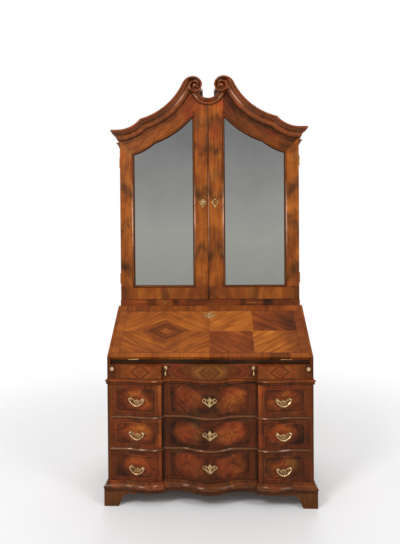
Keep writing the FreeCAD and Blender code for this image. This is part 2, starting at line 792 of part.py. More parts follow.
rosette_shares = [(0, 0), (1, 0), (0.94, 0.16), (0.3, 0.44), (0, 0.44)]
pendant_y = recess_depth - pendant_reach
rosette = turned([(r * pendant_rosette_radius, h * pendant_rosette_radius) for r, h in rosette_shares],
                 V(pendant_centre, recess_depth, pendant_level), V(0, -1, 0))
cheek_parts = [rosette]
for side in (-1, 1):
    start = pendant_centre + side * (pendant_eye / 2 + knuckle_gap)
    end = start + side * pendant_cheek
    cheek_bar = block(min(start, end), max(start, end), pendant_y, recess_depth - pendant_pin,
                      pendant_level - pendant_pin, pendant_level + pendant_pin)
    cheek_end = Part.makeCylinder(pendant_pin + pendant_pin / 2, pendant_cheek,
                                  V(start, pendant_y, pendant_level),
                                  V(side, 0, 0))
    cheek_parts += [cheek_bar, cheek_end]
pin_half = pendant_eye / 2 + knuckle_gap + pendant_cheek
cheek_parts.append(Part.makeCylinder(pendant_pin, 2 * pin_half,
                                     V(pendant_centre - pin_half, pendant_y, pendant_level),
                                     V(1, 0, 0)))
pendant_mount = fused(cheek_parts)
pendant_shares = [(0, 0.06), (0.30, 0.06), (0.24, 0.40), (0.92, 0.70), (1, 0.82), (0.72, 0.94), (0, 1)]
pendant_body = turned([(r * pendant_radius, h * pendant_length) for r, h in pendant_shares],
                      V(pendant_centre, pendant_y, pendant_level), V(0, 0, -1))
eye_start = V(pendant_centre - pendant_eye / 2, pendant_y, pendant_level)
pendant_ring = Part.makeCylinder(pendant_collar, pendant_eye, eye_start, V(1, 0, 0))
pendant_bore = Part.makeCylinder(pendant_pin + pin_gap, pendant_eye, eye_start, V(1, 0, 0))
pendant_neck = pendant_body.cut(block(pendant_centre - 2 * pendant_radius,
                                      pendant_centre + 2 * pendant_radius,
                                      pendant_y - 2 * pendant_radius, pendant_y + 2 * pendant_radius,
                                      pendant_level - pendant_collar, pendant_level + pendant_collar))
pendant_link = block(pendant_centre - pendant_eye / 4, pendant_centre + pendant_eye / 4,
                     pendant_y - pendant_eye / 4, pendant_y + pendant_eye / 4,
                     pendant_level - 2 * pendant_collar, pendant_level - pendant_pin - pendant_pin / 2)
pendant = fused([pendant_ring, pendant_neck, pendant_link]).cut(pendant_bore)
export_list.append(("drop_rosettes", [pendant_mount, mirrored(pendant_mount)]))
export_list.append(("drop_right", [pendant]))
export_list.append(("drop_left", [mirrored(pendant)]))

# Lopers and their knobs

loper = block(loper_inner, loper_outer, 0, loper_length, waist_top + slide_gap, bed_bottom - slide_gap)
knob_shares = [(0, 0), (0.62, 0), (0.36, 0.24), (0.34, 0.55), (0.84, 0.74), (1, 1.06), (0.72, 1.56), (0, 1.7)]
loper_knob = turned([(r * loper_knob_radius, h * loper_knob_radius) for r, h in knob_shares],
                    V((loper_inner + loper_outer) / 2, 0, loper_knob_level), V(0, -1, 0))
export_list.append(("loper_right", [loper]))
export_list.append(("loper_left", [mirrored(loper)]))
export_list.append(("loper_knob_right", [loper_knob]))
export_list.append(("loper_knob_left", [mirrored(loper_knob)]))

# Fall with its lock plate

fall_lock = plate_prism(batwing_shares, batwing_hole_shares, escutcheon_width / 2, 0, 0, -plate_thickness, 0)
fall_lock = keyhole(fall_lock, 0, 0, -plate_thickness, 0)
fall_lock.rotate(V(0, 0, 0), V(1, 0, 0), fall_slope - 90)
lock_y, lock_z = fall_point(fall_length - fall_lock_inset, fall_thickness)
fall_lock.translate(V(0, lock_y, lock_z))
export_list.append(("fall_board", [fall]))
export_list.append(("fall_brasses", [fall_lock] + [hinge[1] for hinge in fall_hinges]))

# Upper cabinet boards

carcase_top = shoulder_level + cornice_height - door_gap
cabinet_side_board = block(half_cabinet_inside, half_cabinet, cabinet_carcase, case_depth, desk_top_level,
                           carcase_top)
cabinet_floor_low = cabinet_floor_top - cabinet_floor
cabinet_floor_board = block(-half_cabinet_inside, half_cabinet_inside, cabinet_carcase, back_face,
                            cabinet_floor_low, cabinet_floor_top)
shelf_room = shoulder_level - roof_half - cabinet_floor_top
shelves = []
for share in shelf_shares:
    z = cabinet_floor_top + share * shelf_room
    shelves.append(block(-half_cabinet_inside, half_cabinet_inside, cabinet_carcase + shelf_setback,
                         back_face,
                         z, z + shelf_thickness))


def under_neck(shape, drop):
    """A right-hand panel cut to the pediment line, a distance below it"""
    near = 0
    far = case_depth
    shape = shape.cut(cylinder_back(corner_centre, corner_radius + drop, near, far))
    shape = shape.cut(cylinder_back(neck_centre, neck_radius + drop, near, far))
    shape = shape.cut(cylinder_back((0, cup_level), cup_radius + drop, near, far))
    return shape.cut(cylinder_back((volute_centre, volute_level), volute_hub + drop, near, far))


peak_level = cup_level - door_gap
back_panel = under_neck(block(0, half_cabinet_inside, back_face, case_depth, desk_top_level, peak_level),
                        roof_half)
cabinet_back = fused([back_panel, mirrored(back_panel)])


# Pediment sections carried round the three arcs, with (height, projection) points and arcs


def section_wire(steps, place):
    """A closed section from points, a step of two points being an arc through the first"""
    edges = []
    last = place(*steps[0][-1])
    first = last
    for step in steps[1:]:
        points = [last] + [place(*p) for p in step]
        edges.append(edge(points))
        last = points[-1]
    edges.append(edge([last, first]))
    return Part.Wire(edges)


def scaled_steps(shares, height, projection):
    return [[(h * height, p * projection) for h, p in step] for step in shares]


cornice_shares = [[(0, 0)], [(0, 0.12)], [(0.07, 0.12)], [(0.07, 0.21)], [(0.16, 0.21)], [(0.16, 0.29)],
                  [(0.30, 0.33)], [(0.41, 0.44)], [(0.48, 0.57)], [(0.55, 0.71)], [(0.65, 0.82)],
                  [(0.78, 0.88)],
                  [(0.82, 1)], [(1, 1)], [(1, 0)]]
cornice_steps = scaled_steps(cornice_shares, cornice_height, cornice_projection)
cup_steps = scaled_steps(cornice_shares, cup_height, cup_projection)


def rectangle_steps(low, high, near, far):
    return [[(low, near)], [(low, far)], [(high, far)], [(high, near)]]


board_steps = rectangle_steps(0, board_height, -door_thickness, 0)
roof_steps = rectangle_steps(-roof_half, roof_half, cabinet_face - case_depth, -door_thickness - slide_gap)
full_cup_turn = 2 * cup_turn


def swept(steps, centre, radius, start, turn):
    """A section revolved round an arc centre, from a start angle off the vertical"""
    wire = section_wire(steps, lambda h, p: V(centre[0], cabinet_face - p, centre[1] - radius + h))
    face = Part.Face(wire)
    pivot = V(centre[0], 0, centre[1])
    face.rotate(pivot, V(0, 1, 0), start)
    return face.revolve(pivot, V(0, 1, 0), turn)


def tilted_half(x, z, angle):
    """A large box on the outer side of a plane through a point of the pediment"""
    size = case_width
    box = Part.makeBox(size, 2 * size, 2 * size, V(0, -size, -size))
    box.rotate(V(0, 0, 0), V(0, 1, 0), angle)
    box.translate(V(x, 0, z))
    return box


def neck_pair(steps, tail):
    """Corner arc and neck arc of one section, mitred at the shoulder, with a tail past the neck's end"""
    mitre = tilted_half(shoulder[0], shoulder[1], (corner_turn + neck_start) / 2)
    corner = swept(steps, corner_centre, corner_radius, 0, corner_turn + arc_overrun).common(mitre)
    turn = neck_end - neck_start + arc_overrun + tail
    neck = swept(steps, neck_centre, neck_radius, neck_start - arc_overrun, turn).cut(mitre)
    return [corner, neck]


volute_place = (volute_centre, volute_level)
hub_board = cylinder_back(volute_place, volute_hub, cabinet_face, cabinet_face + door_thickness)
board_cup = swept(rectangle_steps(0, cup_height - edge_ease, -door_thickness, 0), (0, cup_level), cup_radius,
                  -cup_turn, full_cup_turn)
half_board = neck_pair(board_steps, 0) + [hub_board]
pediment_board = fused(half_board + [mirrored(s) for s in half_board] + [board_cup])
roof_clip = block(-half_cabinet_inside, half_cabinet_inside, 0, 2 * case_depth, 0, 2 * cup_level)
roof_hub = cylinder_back(volute_place, volute_hub + roof_half, cabinet_carcase, case_depth)
roof_cup = swept(roof_steps, (0, cup_level), cup_radius, -cup_turn, full_cup_turn)
half_roof = neck_pair(roof_steps, 0) + [roof_hub]
roof = fused(half_roof + [mirrored(s) for s in half_roof] + [roof_cup]).common(roof_clip)
cabinet_back = cabinet_back.cut(roof)

# Cornice with returns, volutes and the cup between them

corner_mitre = Part.makeBox(2 * case_width, 2 * case_width, 2 * case_width, V(0, -case_width, -case_width))
corner_mitre.rotate(V(0, 0, 0), V(0, 0, 1), mitre_angle)
corner_mitre.translate(V(half_cabinet, cabinet_face, shoulder_level))
tail_turn = math.degrees(2 * volute_radius / neck_radius)
cornice_corner, cornice_neck = neck_pair(cornice_steps, tail_turn)
overrun_wire = section_wire(cornice_steps, lambda h, p: V(half_cabinet, cabinet_face - p, shoulder_level + h))
overrun = Part.Face(overrun_wire).extrude(V(return_overrun, 0, 0))
cornice_corner = fused([cornice_corner, overrun]).cut(corner_mitre)
return_wire = section_wire(cornice_steps, lambda h, p: V(half_cabinet + p, case_depth, shoulder_level + h))
cornice_return = Part.Face(return_wire).extrude(V(0, cabinet_face - return_overrun - case_depth, 0))
cornice_return = cornice_return.common(corner_mitre)
astragal_shares = [[(0, 0)], [(0, 0.18)], [(0.15, 0.34), (0.38, 0.42)], [(0.62, 0.60), (0.70, 0.95)],
                   [(0.86, 1.06), (0.97, 0.9)], [(0.97, 0)]]
astragal_steps = scaled_steps(astragal_shares, astragal_height, astragal_projection)
astragal_foot = shoulder_level - astragal_height
astragal_wire = section_wire(astragal_steps, lambda h, p: V(half_cabinet + p, case_depth, astragal_foot + h))
side_astragal = Part.Face(astragal_wire).extrude(V(0, cabinet_carcase + slide_gap - case_depth, 0))

# Volute: a spiral fillet over a coned ground with a boss

fillet_share = 0.17
fillet_narrowing_share = 0.6
fillet_width = cornice_height * fillet_share


def spiral_place(degrees, radius):
    """A point of the volute on the plane of the cabinet's face"""
    x, z = spiral_point(degrees, radius)
    return V(x, cabinet_face, z)


def arcs_through(points):
    """Arcs through an odd number of points, each through three of them"""
    return [edge(points[start:start + 3]) for start in range(0, len(points) - 1, 2)]


last_degrees = spiral_shares[-1][0]
outer_line = [spiral_place(d, s * volute_radius) for d, s in spiral_shares]
fillet_fade = fillet_narrowing_share / last_degrees
inner_line = [spiral_place(d, s * volute_radius - fillet_width * (1 - fillet_fade * d)) for d, s in spiral_shares]
inner_line.reverse()
fillet_edges = arcs_through(outer_line) + [edge([outer_line[-1], inner_line[0]])]
fillet_edges += arcs_through(inner_line) + [edge([inner_line[-1], outer_line[0]])]
fillet_face = Part.Face(Part.Wire(fillet_edges))
spiral_fillet = fillet_face.extrude(V(0, -cornice_projection, 0))
first_turn = [(d, s * volute_radius) for d, s in spiral_shares if d <= full_turn]


def curled_prism(inset, projection):
    """The volute's first turn, drawn in by an inset and closed at the foot of the neck"""
    line = [spiral_place(d, radius - inset) for d, radius in first_turn]
    heel = V(neck_foot[0], cabinet_face, neck_foot[1])
    closing = [edge([line[-1], heel]), edge([heel, line[0]])]
    return Part.Face(Part.Wire(arcs_through(line) + closing)).extrude(V(0, -projection, 0))


ground = curled_prism(fillet_width / 3, cornice_projection / 2)
cone_shares = [(0, 0), (0.66, 0), (0.66, 0.5), (0.24, 0.74), (0.24, 0.88), (0.15, 1.02), (0, 1.08)]
cone = turned([(r * volute_radius, h * cornice_projection) for r, h in cone_shares],
              V(volute_centre, cabinet_face, volute_level), V(0, -1, 0))
volute = fused([ground, cone, spiral_fillet])
cornice_neck = cornice_neck.cut(cylinder_back(volute_place, volute_hub, 0, cabinet_face))
neck_end_cut = tilted_half(neck_foot[0], neck_foot[1], neck_end)
neck_tail = cornice_neck.common(curled_prism(0, cornice_projection))
neck_and_volute = fused([cornice_neck.common(neck_end_cut), neck_tail, volute])
cup = swept(cup_steps, (0, cup_level), cup_radius, -cup_turn, full_cup_turn)
for side in (-1, 1):
    cup = cup.cut(cylinder_back((side * volute_centre, volute_level), volute_hub + edge_ease, 0,
                                cabinet_face))
cup_clip = block(-cup_radius, cup_radius, 0, cabinet_face, shoulder_level, cup_level - volute_hub / 3)
cup = cup.common(cup_clip).cut(neck_and_volute).cut(mirrored(neck_and_volute))
cornice = [cornice_corner, neck_and_volute, cornice_return, side_astragal]
export_list.append(("cornice_right", cornice))
export_list.append(("cornice_left", [mirrored(s) for s in cornice]))
export_list.append(("cornice_cup", [max(cup.Solids, key=lambda s: s.Volume)]))
export_list.append(("pediment_board", [pediment_board]))
export_list.append(("cabinet_roof", [roof]))
export_list.append(("cabinet_back", [cabinet_back]))
export_list.append(("cabinet_shelves", [cabinet_floor_board] + shelves))

# Candle slides in their housings under the cabinet floor

slot_low = desk_top_level + candle_slot_lift
slot_high = slot_low + candle_thickness + 2 * slide_gap
slot_half = candle_width / 2 + joint_gap
strip_top = door_bottom - door_gap
strip = block(-half_cabinet, half_cabinet, cabinet_face, cabinet_carcase, desk_top_level, strip_top)
housing = block(candle_centre - slot_half - housing_border, candle_centre + slot_half + housing_border,
                cabinet_carcase, cabinet_carcase + candle_length + housing_border, desk_top_level,
                cabinet_floor_low)
slot = block(candle_centre - slot_half, candle_centre + slot_half, cabinet_face,
             cabinet_carcase + candle_length, slot_low, slot_high)
strip = strip.cut(slot).cut(mirrored(slot))
housing = housing.cut(slot)
export_list.append(("candle_strip", [strip, housing, mirrored(housing)]))
slide = block(candle_centre - candle_width / 2, candle_centre + candle_width / 2, cabinet_face,
              cabinet_face + candle_length, slot_low + slide_gap, slot_low + slide_gap + candle_thickness)
slide_knob = turned(small_knob_profile, V(candle_centre, cabinet_face, slot_low + candle_thickness / 2),
                    V(0, -1, 0))
export_list.append(("candle_slide_right", [slide, slide_knob]))
export_list.append(("candle_slide_left", [mirrored(slide), mirrored(slide_knob)]))

# Mirrored doors


def opening_wire(grow, y):
    """Outline of the mirror opening, grown by a distance, with both top arcs"""
    left = inner_stile - grow
    right = half_cabinet - door_gap - outer_stile + grow
    low = door_bottom + bottom_rail - grow
    big = neck_radius + mirror_top_border - grow
    small = corner_radius + mirror_top_border - grow
    gap_x = corner_centre[0] - neck_centre[0]
    gap_z = corner_centre[1] - neck_centre[1]
    span = math.hypot(gap_x, gap_z)
    along = (big ** 2 - small ** 2 + span ** 2) / (2 * span)
    away = math.sqrt(big ** 2 - along ** 2)
    base = (neck_centre[0] + along * gap_x / span, neck_centre[1] + along * gap_z / span)
    peak = (base[0] + away * gap_z / span, base[1] - away * gap_x / span)

    def on_arc(centre, radius, x):
        return (x, centre[1] - math.sqrt(radius ** 2 - (x - centre[0]) ** 2))

    inner_top = on_arc(neck_centre, big, left)
    outer_top = on_arc(corner_centre, small, right)
    neck_mid = on_arc(neck_centre, big, (left + peak[0]) / 2)
    corner_mid = on_arc(corner_centre, small, (right + peak[0]) / 2)
    outline = [[(left, low), (right, low)], [(right, low), outer_top], [outer_top, corner_mid, peak],
               [peak, neck_mid, inner_top], [inner_top, (left, low)]]
    return Part.Wire([edge([V(x, y, z) for x, z in segment]) for segment in outline])


def opening_prism(grow, y0, y1):
    """The mirror opening as a solid between two depths"""
    return Part.Face(opening_wire(grow, y0)).extrude(V(0, y1 - y0, 0))


def opening_taper(grow0, y0, grow1, y1):
    """The mirror opening as a tapering solid"""
    return Part.makeLoft([opening_wire(grow0, y0), opening_wire(grow1, y1)], True, True)


door_back = cabinet_face + door_thickness
mirror_front = cabinet_face + mirror_depth
door_outer = half_cabinet - door_gap
slab = under_neck(block(meeting_gap, door_outer, cabinet_face, door_back, door_bottom, peak_level), door_gap)
slab = slab.cut(opening_prism(0, cabinet_face, door_back))
slab = slab.cut(opening_prism(rebate + joint_gap, mirror_front, door_back))
hinge_x = half_cabinet + door_hinge_reach
hinge_plane = door_back + slide_gap / 2
door_hinges = [placed(butt_hinge(0), V(hinge_x, hinge_plane, z), V(-1, 0, 0), V(0, 0, 1))
               for z in (door_bottom + door_hinge_inset, shoulder_level - door_hinge_inset)]
for fixed, moving, fixed_space, moving_space in door_hinges:
    slab = slab.cut(moving_space)
    cabinet_side_board = cabinet_side_board.cut(fixed_space)
stile_line = inner_stile
outer_line_x = door_outer - outer_stile
tall = 2 * cup_level
inner_part = slab.common(block(0, stile_line, 0, case_depth, 0, tall))
outer_part = slab.common(block(outer_line_x, door_outer, 0, case_depth, 0, tall))
rails = slab.common(block(stile_line, outer_line_x, 0, case_depth, 0, tall))
bead_front = cabinet_face - bead_height
bead_outer = opening_taper(bead_foot - bead_height / 2, bead_front, bead_foot, cabinet_face).fuse(
    opening_prism(0, cabinet_face, mirror_front))
bead_inner = opening_taper(-bead_height / 2, bead_front, -door_bead, mirror_front - bead_height / 2).fuse(
    opening_prism(-door_bead, mirror_front - bead_height / 2, mirror_front))
bead = bead_outer.cut(bead_inner)
backing = opening_prism(rebate, mirror_front + mirror_thickness,
                        mirror_front + mirror_thickness + backing_thickness)
mirror_plate = opening_prism(rebate, mirror_front, mirror_front + mirror_thickness)
door_frame = [inner_part, outer_part] + rails.Solids
meeting_strip = block(meeting_gap, astragal_width, cabinet_face - astragal_height_out, cabinet_face,
                      door_bottom, cup_level - cup_radius - 2 * door_gap)
strip_edge = [e for e in meeting_strip.Edges if abs(e.BoundBox.YMin - e.BoundBox.YMax) < meeting_gap / 10
              and abs(e.BoundBox.YMin - meeting_strip.BoundBox.YMin) < meeting_gap / 10
              and e.BoundBox.ZLength > door_thickness]
meeting_strip = meeting_strip.makeFillet(astragal_height_out - meeting_gap, strip_edge)
door_frame += [bead, backing]
export_list.append(("door_right_frame", door_frame))
export_list.append(("door_right_mirror", [mirror_plate]))
export_list.append(("door_left_frame", [mirrored(s) for s in door_frame + [meeting_strip]]))
export_list.append(("door_left_mirror", [mirrored(mirror_plate)]))
export_list.append(("cabinet_side_right", [cabinet_side_board]))
export_list.append(("cabinet_side_left", [mirrored(cabinet_side_board)]))
fixed_hinges = [hinge[0] for hinge in door_hinges]
fixed_hinges += [mirrored(s) for s in fixed_hinges]
export_list.append(("hinge_leaves", fixed_hinges + [hinge[0] for hinge in fall_hinges]))


kite_band_share = 0.70
kite_shares = [(0, 1), (0.45, 0.45), (1, 0), (0.47, -0.47), (0, -1), (-0.47, -0.47), (-1, 0), (-0.45, 0.45)]


def kite_prism(size_share, x, y0, y1):
    """A kite-shaped plate with slightly hollow sides"""
    outline = []
    for across, up in kite_shares:
        height = kite_rise if up > 0 else kite_foot
        outline.append((x + size_share * across * kite_half_width, kite_level + size_share * up * height))
    return prism_back(outline, y0, y1)


kite_front = cabinet_face - plate_thickness
open_kite = kite_prism(1, kite_centre, kite_front, cabinet_face).cut(
    kite_prism(kite_band_share, kite_centre, kite_front, cabinet_face))
kite_boss = turned(small_knob_profile, V(kite_centre, cabinet_face, kite_level - keyhole_radius), V(0, -1, 0))
closed_kite = fused([kite_prism(1, -kite_centre, kite_front, cabinet_face),
                     kite_prism(kite_band_share, -kite_centre, kite_front - plate_thickness / 2,
                                cabinet_face)])
door_leaves = [hinge[1] for hinge in door_hinges]
export_list.append(("door_right_brasses", [open_kite, kite_boss] + door_leaves))
export_list.append(("door_left_brasses", [closed_kite] + [mirrored(s) for s in door_leaves]))

os.makedirs("parts", exist_ok=True)
for node_name, node_shapes in export_list:
    export(node_name, node_shapes)
print(len(export_list), "nodes")
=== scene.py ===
import math
import bpy
from mathutils import Matrix, Vector


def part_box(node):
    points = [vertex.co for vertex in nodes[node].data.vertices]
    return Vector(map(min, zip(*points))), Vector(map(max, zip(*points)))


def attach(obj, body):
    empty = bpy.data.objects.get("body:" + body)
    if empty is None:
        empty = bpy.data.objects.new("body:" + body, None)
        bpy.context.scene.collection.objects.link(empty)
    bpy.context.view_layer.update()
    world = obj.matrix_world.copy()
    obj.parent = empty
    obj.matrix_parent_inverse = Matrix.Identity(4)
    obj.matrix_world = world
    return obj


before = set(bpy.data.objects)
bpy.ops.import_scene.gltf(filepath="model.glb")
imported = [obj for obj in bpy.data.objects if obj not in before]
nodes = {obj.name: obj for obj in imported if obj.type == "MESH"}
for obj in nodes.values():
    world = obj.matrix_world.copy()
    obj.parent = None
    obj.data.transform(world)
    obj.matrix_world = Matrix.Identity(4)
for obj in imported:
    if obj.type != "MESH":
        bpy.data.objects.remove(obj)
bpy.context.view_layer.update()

# Sizes in metres, read from the frame or repeated from the cabinet's drawing

# Fall: its board and hinges, the two panels inside its crossband and the turn of their veneer
FALL_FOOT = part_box("fall_board")[0].z
FALL_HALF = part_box("fall_board")[1].x
FALL_LENGTH = 0.386
FALL_TURN = math.radians(42)
FALL_HINGE = (0.402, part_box("desk_bed")[0].y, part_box("desk_bed")[1].z)
PANEL_FOOT = 0.052
PANEL_TOP = FALL_LENGTH - 0.041
PANEL_END = FALL_HALF - 0.043
PANEL_CENTRE = 0.240
VENEER_TURN = math.radians(30)

# Case: its front, the step beside the middle, the panels of the drawers' bulges and the handles
CASE_FRONT = -0.264
STEP = 0.252
BULGE_CENTRE = (STEP + 0.524) / 2
BULGE_HALF = 0.106
BULGE_MARGIN = 0.021
BULGE_CORNER = 0.022
MIDDLE_HALF = 0.205
FRIEZE_CENTRE = 0.365
FRIEZE_TURN = math.radians(38)
HANDLE_CENTRE = 0.380
LETTER_FRONT = CASE_FRONT + 0.312

# Cabinet: its face and half width, and how far the cornice and its cup stand out
CABINET_FACE = 0.014
HALF_CABINET = 0.529
CORNICE_REACH = 0.042
CUP_REACH = 0.030

# Doors: the mirror's opening with its two arcs above, its bead, and the closed plate's kite
OPENING_INNER = 0.088
OPENING_OUTER = 0.4475
OPENING_FOOT = 1.1404
OPENING_CORNER = 1.9245
MITRE_SLOPE = 1.02
NECK_CENTRE = (0.4898, 2.4880)
NECK_BORDER = 0.5247
SHOULDER_CENTRE = (0.529, 2.2329)
SHOULDER_BORDER = 0.319
BEAD_FOOT = 0.005
KITE_CENTRE = (0.036, 1.638)
KITE_HALF = 0.022
KITE_RISE = 0.018
KITE_FOOT = 0.036

# How softly two veneers meet at a joint, and at the step between two zones
JOINT = 0.0004
ZONE = 0.0006


class Field:
    """A number over a surface, built from shader nodes by plain arithmetic"""

    def __init__(self, tree, socket):
        self.tree = tree
        self.socket = socket

    def use(self, operation, *others):
        node = self.tree.nodes.new("ShaderNodeMath")
        node.operation = operation
        for place, value in enumerate((self,) + others):
            feed(self.tree, value, node.inputs[place])
        return Field(self.tree, node.outputs[0])

    def __add__(self, other):
        return self.use("ADD", other)

    def __radd__(self, other):
        return self.use("ADD", other)

    def __sub__(self, other):
        return self.use("SUBTRACT", other)

    def __rsub__(self, other):
        return (self * -1).use("ADD", other)

    def __mul__(self, other):
        return self.use("MULTIPLY", other)

    def __truediv__(self, other):
        return self.use("DIVIDE", other)

    def __abs__(self):
        return self.use("ABSOLUTE")

    def floor(self):
        return self.use("FLOOR")

    def fold(self, period):
        """Distance to the nearest multiple of a period"""
        return self.use("PINGPONG", period / 2)


def feed(tree, value, socket):
    """Give a socket a field, another socket or a plain value"""
    if isinstance(value, Field):
        tree.links.new(value.socket, socket)
    elif isinstance(value, bpy.types.NodeSocket):
        tree.links.new(value, socket)
    else:
        socket.default_value = value


def least(field, *others):
    """The lowest of several fields"""
    for other in others:
        field = field.use("MINIMUM", other)
    return field


def most(field, *others):
    """The highest of several fields"""
    for other in others:
        field = field.use("MAXIMUM", other)
    return field


def radius(a, b):
    """Distance from the point where both fields are 0"""
    return (a * a + b * b).use("SQRT")


def rise(field, low, high):
    """0 below low, 1 above high and smooth between them"""
    node = field.tree.nodes.new("ShaderNodeMapRange")
    node.interpolation_type = "SMOOTHSTEP"
    feed(field.tree, field, node.inputs["Value"])
    node.inputs["From Min"].default_value = low
    node.inputs["From Max"].default_value = high
    return Field(field.tree, node.outputs["Result"])


def past(field, level, soft=JOINT):
    """0 before a level and 1 past it"""
    return rise(field, level - soft, level + soft)


def sink(field, low, high):
    """1 below low, 0 above high and smooth between them"""
    return 1 - rise(field, low, high)


def inside(field, centre, half, soft):
    """1 within half of a centre, and 0 outside"""
    return sink(abs(field - centre), half - soft, half + soft)


def oval(a, b, wide, tall, core):
    """1 in the core of an ellipse about the point where both fields are 0, and 0 past its edge"""
    across = a / wide
    up = b / tall
    return sink(across * across + up * up, core, 1.3)


def noise(x, y, z, detail=3.0, roughness=0.55, distortion=0.0):
    """Noise about 0 over three fields, in their own units"""
    tree = x.tree
    joined = tree.nodes.new("ShaderNodeCombineXYZ")
    for place, value in enumerate((x, y, z)):
        feed(tree, value, joined.inputs[place])
    node = tree.nodes.new("ShaderNodeTexNoise")
    tree.links.new(joined.outputs[0], node.inputs["Vector"])
    node.inputs["Scale"].default_value = 1.0
    node.inputs["Detail"].default_value = detail
    node.inputs["Roughness"].default_value = roughness
    node.inputs["Distortion"].default_value = distortion
    return Field(tree, node.outputs[0]) - 0.5


def chance(x, seed):
    """A random number about 0 for each whole number"""
    tree = x.tree
    joined = tree.nodes.new("ShaderNodeCombineXYZ")
    feed(tree, x, joined.inputs[0])
    feed(tree, seed, joined.inputs[1])
    node = tree.nodes.new("ShaderNodeTexWhiteNoise")
    node.noise_dimensions = "2D"
    tree.links.new(joined.outputs[0], node.inputs["Vector"])
    return Field(tree, node.outputs["Value"]) - 0.5


def blend_fields(a, b, share):
    """Field a where share is 0, and b where it is 1"""
    return share * (b - a) + a


def ramp(field, stops):
    """Colours along a field"""
    node = field.tree.nodes.new("ShaderNodeValToRGB")
    feed(field.tree, field, node.inputs[0])
    elements = node.color_ramp.elements
    while len(elements) < len(stops):
        elements.new(0.5)
    for element, (place, colour) in zip(elements, stops):
        element.position = place
        element.color = (*colour, 1.0)
    return node.outputs[0]


# A Mix node's colour sockets, whose names it gives to its other kinds of data as well
MIX_A = 6
MIX_B = 7
MIX_RESULT = 2


def blend_colours(a, b, share):
    """Colour a where share is 0, and b where it is 1"""
    node = share.tree.nodes.new("ShaderNodeMix")
    node.data_type = "RGBA"
    feed(share.tree, share, node.inputs["Factor"])
    for value, socket in ((a, node.inputs[MIX_A]), (b, node.inputs[MIX_B])):
        feed(share.tree, value if isinstance(value, bpy.types.NodeSocket) else (*value, 1.0), socket)
    return node.outputs[MIX_RESULT]


def new_material(name):
    """A material with an empty tree, its shader and the object's own coordinates"""
    material = bpy.data.materials.new(name)
    material.use_nodes = True
    tree = material.node_tree
    shader = tree.nodes["Principled BSDF"]
    place = tree.nodes.new("ShaderNodeTexCoord")
    parts = tree.nodes.new("ShaderNodeSeparateXYZ")
    tree.links.new(place.outputs["Object"], parts.inputs[0])
    x, y, z = (Field(tree, socket) for socket in parts.outputs)
    return material, shader, x, y, z


def facing(tree, axis):
    """How far the surface faces along one of the object's axes, from -1 to 1"""
    parts = tree.nodes.new("ShaderNodeSeparateXYZ")
    tree.links.new(tree.nodes["Texture Coordinate"].outputs["Normal"], parts.inputs[0])
    return Field(tree, parts.outputs[axis])


def raise_bump(shader, height, distance, strength):
    """Bump from a field in which a step of 1 stands for a distance"""
    tree = height.tree
    node = tree.nodes.new("ShaderNodeBump")
    node.inputs["Strength"].default_value = strength
    node.inputs["Distance"].default_value = distance
    feed(tree, height, node.inputs["Height"])
    tree.links.new(node.outputs[0], shader.inputs["Normal"])


# Colours along a tone, from dark at 0 to light at 1

HONEY = [(0.0, (0.018, 0.006, 0.002)), (0.28, (0.094, 0.023, 0.005)), (0.5, (0.185, 0.045, 0.008)),
         (0.75, (0.350, 0.098, 0.013)), (1.0, (0.550, 0.210, 0.045))]
CHESTNUT = [(0.0, (0.014, 0.005, 0.002)), (0.28, (0.074, 0.017, 0.005)), (0.5, (0.150, 0.033, 0.007)),
            (0.75, (0.305, 0.082, 0.013)), (1.0, (0.490, 0.175, 0.038))]
UMBER = [(0.0, (0.012, 0.005, 0.002)), (0.28, (0.062, 0.019, 0.005)), (0.5, (0.120, 0.038, 0.009)),
         (0.75, (0.225, 0.080, 0.017)), (1.0, (0.390, 0.160, 0.045))]
RUSSET = [(0.0, (0.018, 0.006, 0.003)), (0.28, (0.090, 0.017, 0.005)), (0.5, (0.180, 0.031, 0.008)),
          (0.75, (0.330, 0.066, 0.013)), (1.0, (0.500, 0.150, 0.035))]
OLIVE = [(0.0, (0.016, 0.008, 0.003)), (0.28, (0.072, 0.028, 0.007)), (0.5, (0.140, 0.053, 0.011)),
         (0.75, (0.290, 0.120, 0.025)), (1.0, (0.460, 0.220, 0.060))]
# Pale tones for a painted sheen, which stands in for highlights on polished wood
PAINTED_SHEEN_TONES = [(0.0, (0.260, 0.130, 0.080)), (1.0, (0.820, 0.520, 0.380))]
PINE = [(0.0, (0.115, 0.050, 0.018)), (0.4, (0.300, 0.150, 0.060)), (0.7, (0.430, 0.235, 0.100)),
        (1.0, (0.550, 0.335, 0.165))]
STAINED_PINE = [(0.0, (0.030, 0.014, 0.006)), (0.4, (0.075, 0.035, 0.014)), (0.7, (0.120, 0.058, 0.024)),
                (1.0, (0.190, 0.100, 0.045))]
OLD_BRASS = [(0.0, (0.120, 0.060, 0.020)), (0.35, (0.330, 0.195, 0.080)), (0.60, (0.520, 0.345, 0.165)),
             (1.0, (0.760, 0.580, 0.360))]
PAINTED_REFLECTION_GREYS = [(0.0, (0.275, 0.275, 0.255)), (0.30, (0.325, 0.325, 0.300)), (0.62, (0.255, 0.257, 0.248)),
          (1.0, (0.165, 0.167, 0.170))]
FOXING = (0.12, 0.11, 0.095)
POLISH_TINT = (1.0, 0.80, 0.60, 1.0)

# In the materials below, a is the distance from the cabinet's middle and b the height above a piece's own
# middle, unless a line says otherwise. Factors inside noise, grain, burr and floor are waves or blocks per
# metre, a seed only picks another part of the same noise, and all other factors are shares of the tone.

# How strongly the figure shows in plain walnut
PLAIN_FIGURE = 0.62


def grain(along, across, seed, streak=1.0, cloud=1.0):
    """Tone of straight veneer about 0: long streaks, cloudy figure and fine fibres"""
    streaks = noise(along * 5, across * 75, seed, detail=4.0, roughness=0.6, distortion=0.6)
    clouds = noise(along * 9, across * 14, seed + 3.7, detail=2.0)
    fibres = noise(along * 30, across * 620, seed + 9.1, detail=2.0)
    return streaks * streak + clouds * cloud * 0.8 + fibres * 0.30


